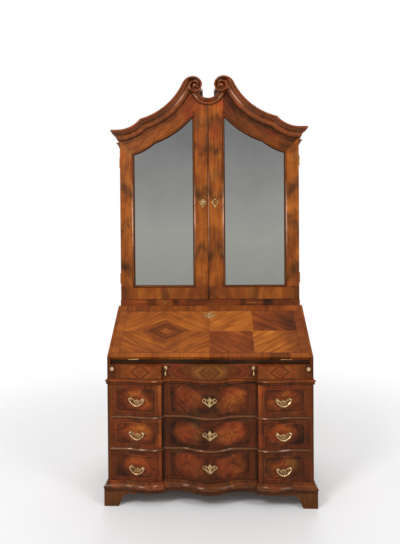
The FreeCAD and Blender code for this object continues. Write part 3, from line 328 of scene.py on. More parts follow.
def burr(x, z, seed, size):
    """Tone of swirling crotch or burr veneer about 0"""
    waves = 17 / size
    swirl = noise(x * waves, z * waves, seed, detail=4.0, roughness=0.62, distortion=1.6)
    fine = noise(x * 160, z * 160, seed + 5.3, roughness=0.6)
    return swirl * 1.25 + fine * 0.35


def pores(along, across, seed, density=600):
    """Fine pores about 0 that run along the grain"""
    return noise(along * 40, across * density, seed, detail=2.0)


def lay(along, x, y, z):
    """Fields along and across a board's grain, which runs back on the boards that face sideways"""
    run, across = {"x": (x, z + y * 0.7), "y": (y, x * 0.8 + z), "z": (z, x + y)}[along]
    if along == "x":
        sideways = rise(abs(facing(x.tree, "X")), 0.6, 0.7)
        run = blend_fields(run, y, sideways)
        across = blend_fields(across, z, sideways)
    return run, across


def lozenge(across, up, turn):
    """Fields out from a quartered panel's middle and along its rings, from the distances to its axes"""
    ring = across * math.sin(turn) + up * math.cos(turn)
    run = across * math.cos(turn) - up * math.sin(turn)
    return ring, run


def polish(shader, tone, colours, fibres, gloss=0.34, shine=0.12, blush=None, ebb=None, painted_sheen=None):
    """Give a polished wood its colour, gloss and pores: redder by blush, greener by ebb and paler by a
    painted sheen
    """
    tree = tone.tree
    colour = ramp(tone, colours)
    for share, other in ((blush, RUSSET), (ebb, OLIVE), (painted_sheen, PAINTED_SHEEN_TONES)):
        if share:
            colour = blend_colours(colour, ramp(tone, other), share)
    tree.links.new(colour, shader.inputs["Base Color"])
    feed(tree, gloss + fibres * 0.22, shader.inputs["Roughness"])
    shader.inputs["Specular IOR Level"].default_value = shine
    shader.inputs["Specular Tint"].default_value = POLISH_TINT
    shader.inputs["Coat Weight"].default_value = 0.04
    shader.inputs["Coat Roughness"].default_value = 0.12
    raise_bump(shader, fibres, distance=0.0004, strength=0.35)
    return colour


# Features of the materials, in metres. Three numbers are a band: its centre, half width and softness. Two are
# a fade from its start to its end. A dark oval, such as the painted shadow behind a handle, is given by its
# half width and half height, and a glow has its centre before them.

# Fall
DARK_RING = (0.040, 0.020, 0.012)
THIN_RING = (0.0, 0.0035, 0.0020)
RING_PITCH = 0.022
RINGS_END = (0.060, 0.090)
HEART = (0.0, 0.012, 0.006)
UPRIGHT_SEAM = (0.0, 0.0016, 0.0008)
LEVEL_SEAM = (0.0, 0.0014, 0.0008)
RIGHT_SHADE = (0.33, 0.47)
END_LINE = (PANEL_END, 0.0012, 0.0006)
TOP_LINE = (PANEL_TOP, 0.0014, 0.0006)
FOOT_LINE = (PANEL_FOOT, 0.0014, 0.0006)

# Its writing side, by how far a surface faces down
UNDERSIDE = (-0.5, -0.2)


def make_fall():
    """Quartered lozenge veneer in two panels inside a crossband; a and b start at a panel's middle"""
    material, shader, x, _, z = new_material("veneer_fall")
    up = (z - FALL_FOOT) / math.sin(FALL_TURN)
    right = past(x, 0)
    a = x - (right * 2 - 1) * PANEL_CENTRE
    b = up - (PANEL_TOP + PANEL_FOOT) / 2
    above = past(b, 0, ZONE)
    outward = past(a, 0, ZONE)
    ring, run = lozenge(abs(a), abs(b), VENEER_TURN)
    wave = noise(run * 9, ring * 12, right * 5 + above * 2 + outward, detail=2.0) * 0.012
    seed = right * 11 + above * 3 + outward * 5
    figure = grain(run, ring + wave, seed, streak=1.35, cloud=0.9)

    same = above * outward + (1 - above) * (1 - outward)
    left_tint = above * 0.02 + outward * 0.04 - 0.05
    right_tint = same * -0.24 + 0.10
    tint = blend_fields(left_tint, right_tint, right)
    thin_rings = inside((ring + wave).fold(RING_PITCH), *THIN_RING) * sink(ring, *RINGS_END)
    core = inside(ring, *DARK_RING) * -0.20 - thin_rings * 0.12 + inside(ring, *HEART) * 0.05
    seam = most(inside(a, *UPRIGHT_SEAM), inside(b, *LEVEL_SEAM))
    panel = 0.62 + figure * 0.62 + tint + core * (1 - right) + seam * right * 0.14
    panel = panel - rise(x, *RIGHT_SHADE) * 0.24
    underside = sink(facing(x.tree, "Z"), *UNDERSIDE)
    panel = blend_fields(panel, 0.50 + grain(x, up, 12.0, cloud=1.2) * 0.6, underside)

    end_cross = 0.58 - right * 0.12 + grain(x, up, 4.0, streak=0.8, cloud=0.7) * 0.5
    top_figure = chance((x * 11.5).floor(), 3.0) * 0.16 + grain(up, x, 2.0, streak=0.8, cloud=1.1) * 0.55
    foot_figure = chance((x * 9.5).floor(), 8.0) * 0.34 + grain(up, x, 6.0, streak=0.8, cloud=0.7) * 0.5
    tone = blend_fields(panel, end_cross, past(abs(x), PANEL_END))
    tone = blend_fields(tone, 0.48 + top_figure, past(up, PANEL_TOP))
    tone = blend_fields(tone, 0.55 + foot_figure, 1 - past(up, PANEL_FOOT))
    line = most(inside(abs(x), *END_LINE), inside(up, *TOP_LINE), inside(up, *FOOT_LINE))
    tone = tone - line * 0.22 - 0.03
    blush = same * right * 0.4 * (1 - underside)
    polish(shader, tone, HONEY, pores(run, ring, seed, density=700), blush=blush)
    return material


# Long drawers
STRING = (0.0, 0.0010, 0.0007)
GROOVE = (0.004, 0.0018, 0.0012)
BULGE_GLOW = (0.384, 0.008, 0.085, 0.056)
BULGE_SHADE = (-0.034, 0.0)
# Painted shadow behind the handles' plates
HANDLE_SHADOW = (0.050, 0.030)
SHADOW_SAG = 0.006
DARK_OVAL_CORE = 0.4
STEP_HIGHLIGHT = (STEP + 0.009, 0.009, 0.003)
VEES_START = (0.07, 0.13)
MIDDLE_GLOW = (0.108, 0.006, 0.094, 0.066)
MIDDLE_SHADE = (0.168, 0.208)
LOCK_DARKENING = (0.044, 0.030)
MIDDLE_END = (MIDDLE_HALF, MIDDLE_HALF + 0.0012)
MIDDLE_LINE = (MIDDLE_HALF, 0.0012, 0.0008)
RECESS_LIGHT = (0.208, 0.214)
RECESS_SHADE = (0.232, 0.248)
VEE_CENTRE = 0.10

# Fades below the drawer's upper edge and above its lower one; the second is painted shade along both edges
MIDDLE_BORDER = (-0.017, -0.0155)
EDGE_SHADE = (-0.0035, -0.001)


def make_drawer(name, handle_level, outer, inner):
    """Figured veneer of a long drawer: a panel on each bulge and a book-matched middle

    handle_level is the handles' height above the drawer's middle. outer and inner shift the tones of the
    bulges and of the middle, left and right.
    """
    low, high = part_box(name)
    material, shader, x, _, z = new_material("veneer_" + name)
    seed = sum(ord(letter) for letter in name) % 17 + 0.37
    top = (high.z - low.z) / 2
    a = abs(x)
    b = z - (low.z + high.z) / 2
    right = past(x, 0)
    twin = seed + right * 4
    swirl_x = a + noise(a * 12, b * 12, twin + 2.0) * 0.09
    swirl_z = b + noise(a * 12, b * 12, twin + 6.0) * 0.08
    figure = burr(swirl_x, swirl_z, seed, 1.1) * 0.66 + noise(a * 5, b * 9, twin + 3.0, detail=2.0) * 0.6

    def glow(centre, level, wide, tall):
        """A lighter oval in the burr"""
        return oval(swirl_x - centre, swirl_z - level, wide, tall, core=0.05)

    corner_x = most(abs(a - BULGE_CENTRE) - (BULGE_HALF - BULGE_CORNER), 0)
    corner_z = most(abs(b) - (top - BULGE_MARGIN - BULGE_CORNER), 0)
    reach = radius(corner_x, corner_z) - BULGE_CORNER
    # Painted shadow behind and below each handle's plate
    dark_oval = oval(a - HANDLE_CENTRE, b - handle_level + SHADOW_SAG, *HANDLE_SHADOW, core=DARK_OVAL_CORE)
    panel = 0.30 + glow(*BULGE_GLOW) * 0.34 + figure - rise(reach, *BULGE_SHADE) * 0.10 - dark_oval * 0.16
    block = (a * 14).floor() + (b * 16).floor() * 5
    cross = 0.36 + chance(block, seed) * 0.14 + grain(b, a, seed + 1.0, streak=0.9) * 0.6
    # Painted highlight on the crossband just outside the step, where the bulge turns back
    cross = cross + inside(a, *STEP_HIGHLIGHT) * 0.16
    bulge = blend_fields(panel, cross, past(reach, 0))
    bulge = bulge + inside(reach, *STRING) * 0.32 - inside(reach, *GROOVE) * 0.12
    bulge = bulge + blend_fields(*outer, right)

    vee = abs(a - VEE_CENTRE) * 0.8 + abs(b) * 0.9
    vees = noise(vee * 95, a * 6, twin + 1.0, detail=2.0) * rise(a, *VEES_START)
    # Darker about the lock
    dark_oval = oval(a, b, *LOCK_DARKENING, core=DARK_OVAL_CORE)
    panel = 0.25 + glow(*MIDDLE_GLOW) * (0.30 + right * 0.08) + figure + vees * 0.55
    panel = panel - rise(a, *MIDDLE_SHADE) * 0.14 - dark_oval * 0.14
    border = most(rise(abs(b) - top, *MIDDLE_BORDER), rise(a, *MIDDLE_END))
    cross = 0.25 + grain(b, a, seed + 8.0, streak=0.9) * 0.5 + inside(a, *MIDDLE_LINE) * 0.20
    cross = cross + rise(a, *RECESS_LIGHT) * 0.10 - rise(a, *RECESS_SHADE) * 0.16
    middle = blend_fields(panel, cross, border) + blend_fields(*inner, right)

    # Painted shade along the drawer's upper and lower edges, next to the rails
    tone = blend_fields(middle, bulge, past(a, STEP, ZONE)) - rise(abs(b) - top, *EDGE_SHADE) * 0.10
    fibres = noise(a * 240, b * 240, seed)
    blush = rise(noise(a * 7, b * 9, twin + 12.0), -0.10, 0.14)
    ebb = rise(noise(a * 8, b * 11, twin + 15.0), 0.06, 0.22) * 0.8
    polish(shader, tone, CHESTNUT, fibres, gloss=0.30, blush=blush, ebb=ebb)
    return material


# Frieze drawer
FRIEZE_LIGHT = (0.0, 0.095, 0.012)
FRIEZE_SHADE = (0.20, 0.235)
CHEVRON_PITCH = 0.030
CHEVRON = (0.0, 0.0022, 0.0016)
CHEVRON_START = (0.012, 0.016)
FRIEZE_END = (0.463, 0.4645)
FRIEZE_BORDER = (0.0305, 0.0315)


def make_frieze():
    """Three sections of quartered veneer with chevrons"""
    low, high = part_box("frieze_front")
    material, shader, x, _, z = new_material("veneer_frieze")
    a = abs(x)
    b = z - (low.z + high.z) / 2
    side = past(a, STEP, ZONE)
    wander = noise(a * 22, b * 22, 2.0 + side * 3, detail=2.0) * 0.010
    ring, run = lozenge(abs(a - side * FRIEZE_CENTRE) + wander, abs(b), FRIEZE_TURN)
    figure = grain(run, ring, side * 4 + 1.5, streak=1.2, cloud=0.8)
    stripe = noise(ring * 60, run * 4, side * 3, detail=1.0)
    chevron = inside(ring.fold(CHEVRON_PITCH), *CHEVRON) * rise(ring, *CHEVRON_START)
    light = inside(a, *FRIEZE_LIGHT)
    shade = rise(a, *FRIEZE_SHADE) * (1 - side)
    panel = 0.40 + figure * 0.6 + stripe * 0.35 - chevron * 0.16 + light * 0.08 - shade * 0.14 + side * 0.06
    cross = 0.38 + chance((a * 15).floor(), 2.0) * 0.12 + grain(b, a, 7.0, streak=0.8, cloud=0.8) * 0.5
    tone = blend_fields(panel, cross, most(rise(a, *FRIEZE_END), rise(abs(b), *FRIEZE_BORDER)))
    blush = rise(noise(a * 9, b * 9, 12.0 + side * 3, detail=2.0), -0.05, 0.12)
    polish(shader, tone, HONEY, pores(run, ring, 3.0), blush=blush, ebb=light * 0.64)
    return material


# Doors. A patch is a place on a stile: from the middle, height, slope of its point, reach and strength
INNER_PATCHES = [(0.045, 1.372, 1.3, 0.050, 1.0), (0.045, 1.668, -0.8, 0.060, 1.0),
                 (0.045, 1.925, -1.2, 0.040, 1.0), (0.045, 2.115, 0.6, 0.045, 0.8)]
OUTER_PATCHES = [(0.540, 1.765, 1.0, 0.055, 1.0), (0.540, 1.470, -0.8, 0.060, 1.0),
                 (0.430, 1.185, -0.9, 0.055, 1.0)]
ARCH_START = 0.045
ARCH_PITCH = 0.21
ARCH_HALF = 0.05
ARCH_LEVEL = 1.10
STRIPE_START = 0.03
STRIPE_PITCH = 0.24
RAIL_STRIPE = (0.0, 0.02, 0.015)
TOP_SHADE = (0.050, 0.085)
MITRE_LINE = (0.0, 0.0008, 0.0006)
BUTT_LINE = (OPENING_INNER, 0.0008, 0.0006)
LINE_START = 0.001
FRAME_SHADE = (0.006, 0.012)
BEAD_END = (BEAD_FOOT + 0.0002, BEAD_FOOT + 0.0010)
BEAD_CREST_HIGHLIGHT = (0.0015, 0.0016, 0.0012)
BEAD_SHADOW_LINE = (BEAD_FOOT + 0.0012, 0.0010, 0.0008)
BEAD_GLINT = (BEAD_FOOT, 0.0030, 0.0016)
STRIP = (0.0050, 0.0042, 0.0006)
STRIP_FACE = (CABINET_FACE - 0.0006, CABINET_FACE - 0.0002)
STRIP_GLINT = (0.0022, 0.0020, 0.0012)
GLINT_LEVELS = (1.56, 0.20, 0.14)
GLINT_END = (1.72, 1.80)
BLUSH_LEVEL = 2.05


def make_door():
    """Frame veneer with feathered patches, a top rail that follows its curve, a dark bead at the mirror with
    a painted highlight on its crest and a painted shadow line beside it, and painted glints on the bead and
    the meeting strip
    """
    material, shader, x, y, z = new_material("veneer_door")
    a = abs(x)
    right = past(x, 0)
    neck = NECK_BORDER - radius(a - NECK_CENTRE[0], z - NECK_CENTRE[1])
    shoulder = SHOULDER_BORDER - radius(a - SHOULDER_CENTRE[0], z - SHOULDER_CENTRE[1])
    above = most(neck, shoulder)
    out = most(OPENING_INNER - a, a - OPENING_OUTER, OPENING_FOOT - z, above)
    outer = past(a, OPENING_OUTER)
    mitre = z - OPENING_CORNER - most(a - OPENING_OUTER, 0) * MITRE_SLOPE
    upper = past(mitre, 0) * past(a, OPENING_INNER)
    lean = noise(a * 9, z * 6, outer * 3 + right * 5 + 1.0, detail=2.0) * 0.11

    def feather(middle, level, slope, reach, strength):
        """A dark patch across a stile, pointed up where the slope is positive"""
        near = abs(z + lean - level + abs(a - middle) * slope)
        return sink(near, reach * 0.15, reach) * strength

    inner_patch = most(*(feather(*patch) for patch in INNER_PATCHES))
    outer_patch = most(*(feather(*patch) for patch in OUTER_PATCHES))
    patch = blend_fields(inner_patch, outer_patch, outer)
    figure = grain(z, a, outer * 6 + right * 3 + 2.0, streak=0.8)
    torn = noise(a * 26, z * 20, 3.0 + right * 4, roughness=0.6, distortion=0.6)
    stile = 0.555 + figure * 0.70 - patch * (0.17 + torn * 0.8)

    arch = abs((a - ARCH_START).fold(ARCH_PITCH) - ARCH_HALF) * 0.7 + (z - ARCH_LEVEL) * 0.7
    arches = grain(arch, a, 5.0, streak=0.6) + chance((a * 9.5).floor(), 2.0) * 0.16
    stripes = inside((a + lean - STRIPE_START).fold(STRIPE_PITCH), *RAIL_STRIPE)
    rail = 0.53 + arches * 0.6 - stripes * 0.22

    top_figure = grain(a * 1.2, above, 8.0, streak=1.1, cloud=0.9)
    top_cloud = noise(a * 11, above * 16, 7.3 + right * 2, roughness=0.6, distortion=0.8)
    top = 0.49 - right * 0.18 + top_figure * 0.55 + top_cloud * 0.6 - rise(above, *TOP_SHADE) * 0.12

    joint = most(inside(mitre, *MITRE_LINE) * rise(a - OPENING_OUTER, 0, LINE_START),
                 inside(a, *BUTT_LINE) * rise(above, 0, LINE_START))
    mark = noise(a * 7, z * 7, 4.4, roughness=0.6, distortion=1.0)
    tone = blend_fields(blend_fields(stile, rail, 1 - past(z, OPENING_FOOT)), top, upper)
    tone = tone + mark * 0.30 - joint * 0.18 - sink(out, *FRAME_SHADE) * 0.10

    # The bead is dark, with a painted highlight along its crest and a painted shadow line just outside its
    # foot
    bead = 0.17 + inside(out, *BEAD_CREST_HIGHLIGHT) * (0.34 + mark * 0.9) + figure * 0.25
    tone = blend_fields(tone, bead, sink(out, *BEAD_END)) - inside(out, *BEAD_SHADOW_LINE) * 0.22
    on_strip = (1 - right) * sink(y, *STRIP_FACE)
    tone = tone - inside(a, *STRIP) * on_strip * 0.22

    # Painted glints on the bead and along the meeting strip, within a band of heights, which also pale the
    # colour as a painted sheen
    bright = inside(z, *GLINT_LEVELS) * (0.55 + rise(mark, -0.04, 0.08) * 0.45)
    bead_glint = inside(out - outer * 0.0010, *BEAD_GLINT) * sink(z + outer * 0.02, *GLINT_END)
    strip_glint = inside(a, *STRIP_GLINT) * on_strip
    painted_sheen = most(bead_glint, strip_glint * 0.8) * bright * 0.85
    fibres = noise(a * 500, z * 40, 1.0, detail=2.0)
    blush = rise(noise(a * 6, z * 5, 14.0 + right * 3) + (z - BLUSH_LEVEL) * 0.5, -0.02, 0.16)
    pale = rise(noise(a * 8, z * 7, 21.0 + right * 3), 0.05, 0.2)
    ebb = most(patch * 0.45 * (1 - upper), pale * 0.7)
    polish(shader, tone + painted_sheen * 0.35, HONEY, fibres, blush=blush, ebb=ebb, painted_sheen=painted_sheen)
    return material


def make_plain(name, colours, level, along, seed):
    """Solid walnut with its grain along one axis"""
    material, shader, x, y, z = new_material(name)
    run, across = lay(along, x, y, z)
    tone = level + grain(run, across, seed) * PLAIN_FIGURE
    polish(shader, tone, colours, pores(run, across, seed), gloss=0.36)
    return material


def make_knobbed(name, level, along, seed, front):
    """Walnut pieces whose brass knobs stand out in front of their own face"""
    material, shader, x, y, z = new_material(name)
    run, across = lay(along, x, y, z)
    tone = level + grain(run, across, seed) * PLAIN_FIGURE
    wood = polish(shader, tone, HONEY, pores(run, across, seed))
    knob = sink(y, front - 0.0004, front - 0.0001)
    patina = noise(x * 60, y * 60, z * 60, detail=4.0, roughness=0.6)
    colour = blend_colours(wood, ramp(patina + 0.5, OLD_BRASS), knob)
    x.tree.links.new(colour, shader.inputs["Base Color"])
    feed(x.tree, knob, shader.inputs["Metallic"])
    return material


def front_edge(y, depth):
    """1 on the edge that faces forward at a depth, and 0 behind it"""
    return sink(y, depth + 0.0006, depth + 0.0014)


def make_bed():
    """Writing bed with its front edge below the fall painted dark as shade"""
    material, shader, x, y, z = new_material("walnut_bed")
    # Painted shade: the front edge under the fall is nearly black
    level = blend_fields(0.46, 0.05, front_edge(y, FALL_HINGE[1]))
    tone = level + grain(x, z + y * 0.7, 8.5) * PLAIN_FIGURE
    polish(shader, tone, CHESTNUT, pores(x, y, 8.5))
    return material


SIDE_LINE = (0.5275, 0.0010, 0.0006)


def make_sides():
    """Quiet upright veneer with a dark front edge that carries a light line"""
    material, shader, x, y, z = new_material("walnut_sides")
    face = 0.46 + grain(z, x + y, 3.0) * PLAIN_FIGURE + noise(y * 3, z * 3, 2.0) * 0.3
    edge = 0.20 + grain(z, x, 5.0, streak=0.8, cloud=0.6) * 0.4 + inside(abs(x), *SIDE_LINE) * 0.30
    tone = blend_fields(face, edge, front_edge(y, CASE_FRONT))
    polish(shader, tone, HONEY, pores(z, x + y, 3.0))
    return material


# Painted shade in blocks on both sides of the candle slides
SLIDE_SHADE_INNER = (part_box("candle_slide_right")[0].x - 0.018, 0.016, 0.012)
SLIDE_SHADE_OUTER = (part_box("candle_slide_right")[1].x + 0.030, 0.028, 0.014)


def make_strip():
    """Low rail under the doors with painted shade beside its slides"""
    material, shader, x, y, z = new_material("walnut_strip")
    a = abs(x)
    tone = 0.42 + grain(x, z + y * 0.7, 11.0) * PLAIN_FIGURE + chance((x * 9).floor(), 11.0) * 0.18
    # Painted shade beside the slides
    dark = most(inside(a, *SLIDE_SHADE_INNER), inside(a, *SLIDE_SHADE_OUTER))
    blush = rise(noise(x * 6, z * 6, 4.0, detail=2.0), -0.05, 0.12) * 0.6
    polish(shader, tone - dark * 0.24, HONEY, pores(x, z, 11.0), blush=blush)
    return material


# Painted highlights on the mouldings and rails: on the bulges, just outside the step
BULGE_HIGHLIGHT = (STEP + 0.034, 0.006, 0.014)
CROSS_BLOCK = 0.08


def make_moulding(name, node, level, lights):
    """Crossbanded moulding with lines of painted highlight and painted shade along its profile, and painted
    highlights on the bulges
    """
    low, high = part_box(node)
    material, shader, x, y, z = new_material(name)
    share = (z - low.z) / (high.z - low.z)
    across = x + y
    block = (across / CROSS_BLOCK).floor()
    tone = level + grain(z, across, 7.0, streak=0.8) * 0.6 + chance(block, 7.0) * 0.16
    for place, half, gain in lights:
        tone = tone + inside(share, place, half, half * 0.6) * gain
    # Painted highlight on the last line, on the bulges just outside the step
    painted_highlight = inside(abs(x), *BULGE_HIGHLIGHT) * inside(share, lights[-1][0], 0.10, 0.10)
    painted_highlight = painted_highlight * sink(y, CASE_FRONT, CASE_FRONT + 0.02)
    fibres = pores(z, across, 3.0, density=200) * 0.5
    blush = rise(noise(x * 12, z * 12, 3.0, detail=2.0), -0.1, 0.15) * 0.5
    polish(shader, tone + painted_highlight * 0.2, HONEY, fibres, gloss=0.22, shine=0.18, blush=blush, painted_sheen=painted_highlight * 0.5)
    return material


RAIL_CREST_HIGHLIGHT = (0.0, 0.0034, 0.0020)


def make_rails():
    """Beaded rails with a painted highlight along the crest, brighter on the bulges, and dark beside it"""
    material, shader, x, y, z = new_material("walnut_rails")
    levels = [(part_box(below + "_front")[1].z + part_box(above + "_front")[0].z) / 2
              for below, above in zip(DRAWERS, DRAWERS[1:])]
    # Painted highlight along each bead's crest
    crest = inside(least(*(abs(z - level) for level in levels)), *RAIL_CREST_HIGHLIGHT)
    # Brighter painted highlight on the bulges, just outside the step
    painted_highlight = crest * inside(abs(x), *BULGE_HIGHLIGHT)
    tone = 0.22 + crest * 0.20 + grain(x, y, 8.0) * 0.4 + painted_highlight * 0.30
    fibres = pores(x, y, 8.0, density=300) * 0.4
    polish(shader, tone, HONEY, fibres, gloss=0.16, shine=0.38, ebb=crest * 0.6, painted_sheen=painted_highlight * 0.6)
    return material


# Bands of painted light and shade on the cornice's profile, as shares of how far it stands out
CORNICE_FOOT_SHADOW = (0.15, 0.03, 0.02)
CORNICE_SWELL_HIGHLIGHT = (0.36, 0.16, 0.10)
CORNICE_PALE_HIGHLIGHT = (0.46, 0.07, 0.07)
CORNICE_HOLLOW_SHADE = (0.74, 0.13, 0.10)
CORNICE_LIP_HIGHLIGHT = (0.93, 0.98)

# Bands along the cornice where light is painted, as distances from the middle in metres
NECK_HOLLOW_LIGHT = (0.170, 0.050, 0.080)
NECK_PALE_HIGHLIGHT = (0.160, 0.028, 0.030)
VOLUTE_PALE_HIGHLIGHT = (0.070, 0.010, 0.008)


def make_cornice(name, full_reach, level):
    """Moulded walnut with painted shade in its hollow and at its foot, and painted highlights on its swell,
    its lip and near the necks and volutes
    """
    material, shader, x, y, z = new_material(name)
    a = abs(x)
    reach = most(CABINET_FACE - y, a - HALF_CABINET) / full_reach
    streaks = noise(x * 26, z * 26 + y * 10, 2.0, roughness=0.6, distortion=0.6)
    fine = noise(x * 40, z * 60, 5.0 + y * 3, roughness=0.6)
    blocks = chance((x * 17).floor(), 4.0)
    # Painted shade in the hollow, which is painted lighter near the necks
    hollow = inside(reach, *CORNICE_HOLLOW_SHADE) * (inside(a, *NECK_HOLLOW_LIGHT) * 0.22 - 0.07)
    # Pale painted highlights on the swell near the necks and the volutes
    painted_highlight = most(inside(a, *NECK_PALE_HIGHLIGHT), inside(a, *VOLUTE_PALE_HIGHLIGHT)) * inside(reach, *CORNICE_PALE_HIGHLIGHT)
    # Painted highlights on the swell and the lip, and a painted shadow at the foot
    tone = level + inside(reach, *CORNICE_SWELL_HIGHLIGHT) * 0.17 + hollow
    tone = tone + rise(reach, *CORNICE_LIP_HIGHLIGHT) * 0.12 - inside(reach, *CORNICE_FOOT_SHADOW) * 0.12
    tone = tone + streaks * 0.7 + fine * 0.20 + blocks * 0.08 + painted_highlight * 0.34
    fibres = noise(x * 120, z * 120, 3.0 + y * 40, detail=2.0) * 0.4
    blush = rise(streaks, -0.1, 0.1) * 0.6
    polish(shader, tone, HONEY, fibres, gloss=0.20, shine=0.34, blush=blush, painted_sheen=painted_highlight * 0.8)
    return material


PLANK = 0.171
PLANK_JOINT = (0.0, 0.0012, 0.0008)


def make_pine(name, along, seed, colours, plank=0.0):
    """Bare softwood for boards that nobody polishes, in planks where a width is given"""
    material, shader, x, y, z = new_material(name)
    tree = x.tree
    run, across = lay(along, x, y, z)
    rings = noise(run * 2.2, across * 32, seed, roughness=0.6, distortion=0.8)
    fibres = noise(run * 30, across * 500, seed + 2.0, detail=2.0)
    dust = noise(x * 6, z * 6 + y * 5, seed + 4.0)
    tone = 0.5 + rings * 1.1 + fibres * 0.3 + dust * 0.6
    height = fibres + rings
    if plank:
        joint = inside((x + plank / 2).fold(plank), *PLANK_JOINT)
        height = height - joint * 3
        knots = rise(noise(x * 3, z * 1.4, seed + 6.0, detail=2.0), 0.16, 0.24)
        tone = tone + chance((x / plank + 0.5).floor(), seed) * 0.34 - joint * 0.5 - knots * 0.3
    tree.links.new(ramp(tone, colours), shader.inputs["Base Color"])
    feed(tree, 0.68 + fibres * 0.2, shader.inputs["Roughness"])
    shader.inputs["Specular IOR Level"].default_value = 0.25
    raise_bump(shader, height, distance=0.0006, strength=0.4)
    return material


# The handles are polished smoother by hands where they stand out and are painted lighter there as a
# highlight, and a line is engraved in the closed kite, at a share of it
HANDLE_DEPTH = -0.2743
HANDLE_TURN = math.radians(12.2)
HANDLE_RUB_AND_HIGHLIGHT = (0.0045, 0.0100)
HANDLES_START = (0.30, 0.31)
ENGRAVED = (0.62, 0.10, 0.05)
KITE_FACE = (CABINET_FACE - 0.0015, CABINET_FACE - 0.0010)


def make_brass():
    """Lacquered brass, darker where polish does not reach"""
    material, shader, x, y, z = new_material("brass_fittings")
    tree = x.tree
    a = abs(x)
    patina = noise(x * 60, y * 60 + 1.0, z * 60, detail=4.0, roughness=0.6)
    scratches = noise(x * 900, y * 200, z * 500, detail=2.0)
    lift = (HANDLE_DEPTH - y) * math.cos(HANDLE_TURN) + (a - HANDLE_CENTRE) * math.sin(HANDLE_TURN)
    # Lighter where the handles stand out: a painted highlight, on brass that hands also polish smoother
    painted_highlight = rise(lift, *HANDLE_RUB_AND_HIGHLIGHT) * rise(a, *HANDLES_START)
    kite_up = z - KITE_CENTRE[1]
    kite = abs(x + KITE_CENTRE[0]) / KITE_HALF + most(kite_up / KITE_RISE, kite_up / -KITE_FOOT)
    engraved = inside(kite, *ENGRAVED) * sink(y, *KITE_FACE)
    tone = patina * 1.3 + 0.46 + painted_highlight * 0.22 - engraved * 0.5
    tree.links.new(ramp(tone, OLD_BRASS), shader.inputs["Base Color"])
    shader.inputs["Metallic"].default_value = 1.0
    feed(tree, 0.34 + patina * 0.25 + scratches * 0.1 - painted_highlight * 0.06, shader.inputs["Roughness"])
    raise_bump(shader, scratches + patina, distance=0.0003, strength=0.3)
    return material


DULL_BORDER = 0.012


def make_mirror():
    """Old silvered glass, grey with a painted reflection that changes with height, faint foxing and dull
    along its border
    """
    material, shader, x, _, z = new_material("old_mirror")
    tree = x.tree
    a = abs(x)
    up = z - OPENING_FOOT
    haze = noise(x * 5, z * 5, 1.0, detail=4.0, roughness=0.6, distortion=0.5)
    spots = rise(noise(x * 55, z * 55, 3.0, detail=2.0), 0.20, 0.27)
    spots = spots * rise(noise(x * 4, z * 4, 8.0, detail=2.0), 0.08, 0.2)
    border = DULL_BORDER - least(a - OPENING_INNER, OPENING_OUTER - a, up)
    spots = most(spots, rise(border + haze * 0.03, 0.0, DULL_BORDER) * 0.5)
    # The grey changes with height as a painted reflection
    colour = blend_colours(ramp(up * 1.05 + haze * 0.35, PAINTED_REFLECTION_GREYS), FOXING, spots * 0.8)
    tree.links.new(colour, shader.inputs["Base Color"])
    shader.inputs["Metallic"].default_value = 1.0
    feed(tree, 0.06 + spots * 0.3, shader.inputs["Roughness"])
    raise_bump(shader, noise(x * 2.5, z * 2.5, 6.0, detail=1.0), distance=0.0006, strength=0.15)
    return material


# Materials on the CAD nodes

DRAWERS = ["drawer_bottom", "drawer_middle", "drawer_top"]

# The handles' height above a drawer's middle, and how its bulges and its middle differ, left and right
DRAWER_TONES = {
    "drawer_top": (0.0, (0.05, 0.05), (-0.03, -0.03)),
    "drawer_middle": (0.0, (0.02, -0.09), (-0.15, -0.06)),
    "drawer_bottom": (-0.010, (-0.03, -0.06), (-0.06, -0.06)),
}

# Painted highlight and shade lines of a moulding: share of its height, half width and gain. The last one also
# carries the painted highlights on the bulges.
WAIST_PAINTED_LINES = [(0.15, 0.15, -0.12), (0.70, 0.18, 0.12)]
BASE_PAINTED_LINES = [(0.90, 0.05, 0.14), (0.52, 0.10, 0.12)]


def dress(material, *names):
    """Give CAD nodes a material"""
    for name in names:
        for slot in nodes[name].material_slots:
            slot.material = material


brass = make_brass()
brass_names = ["hinge_leaves", "door_left_brasses", "door_right_brasses", "fall_brasses", "drop_rosettes",
               "drop_left", "drop_right", "loper_knob_left", "loper_knob_right"]
for drawer in DRAWERS:
    dress(make_drawer(drawer + "_front", *DRAWER_TONES[drawer]), drawer + "_front")
    brass_names += [drawer + "_plates", drawer + "_bail_left", drawer + "_bail_right"]
dress(brass, *brass_names)
dress(make_fall(), "fall_board")
dress(make_frieze(), "frieze_front")
dress(make_door(), "door_left_frame", "door_right_frame")
dress(make_mirror(), "door_left_mirror", "door_right_mirror")
dress(make_sides(), "case_side_left", "case_side_right", "cabinet_side_left", "cabinet_side_right")
dress(make_cornice("walnut_cornice", CORNICE_REACH, 0.35), "cornice_left", "cornice_right", "pediment_board")
dress(make_cornice("walnut_cup", CUP_REACH, 0.40), "cornice_cup")
dress(make_moulding("walnut_waist", "waist_moulding", 0.32, WAIST_PAINTED_LINES), "waist_moulding")
dress(make_moulding("walnut_base", "base_moulding", 0.26, BASE_PAINTED_LINES), "base_moulding")
dress(make_rails(), "drawer_rails")
dress(make_bed(), "desk_bed", "case_floor")
dress(make_strip(), "desk_top", "candle_strip")
dress(make_plain("walnut_feet", UMBER, 0.38, "z", 9.0), "bracket_feet")
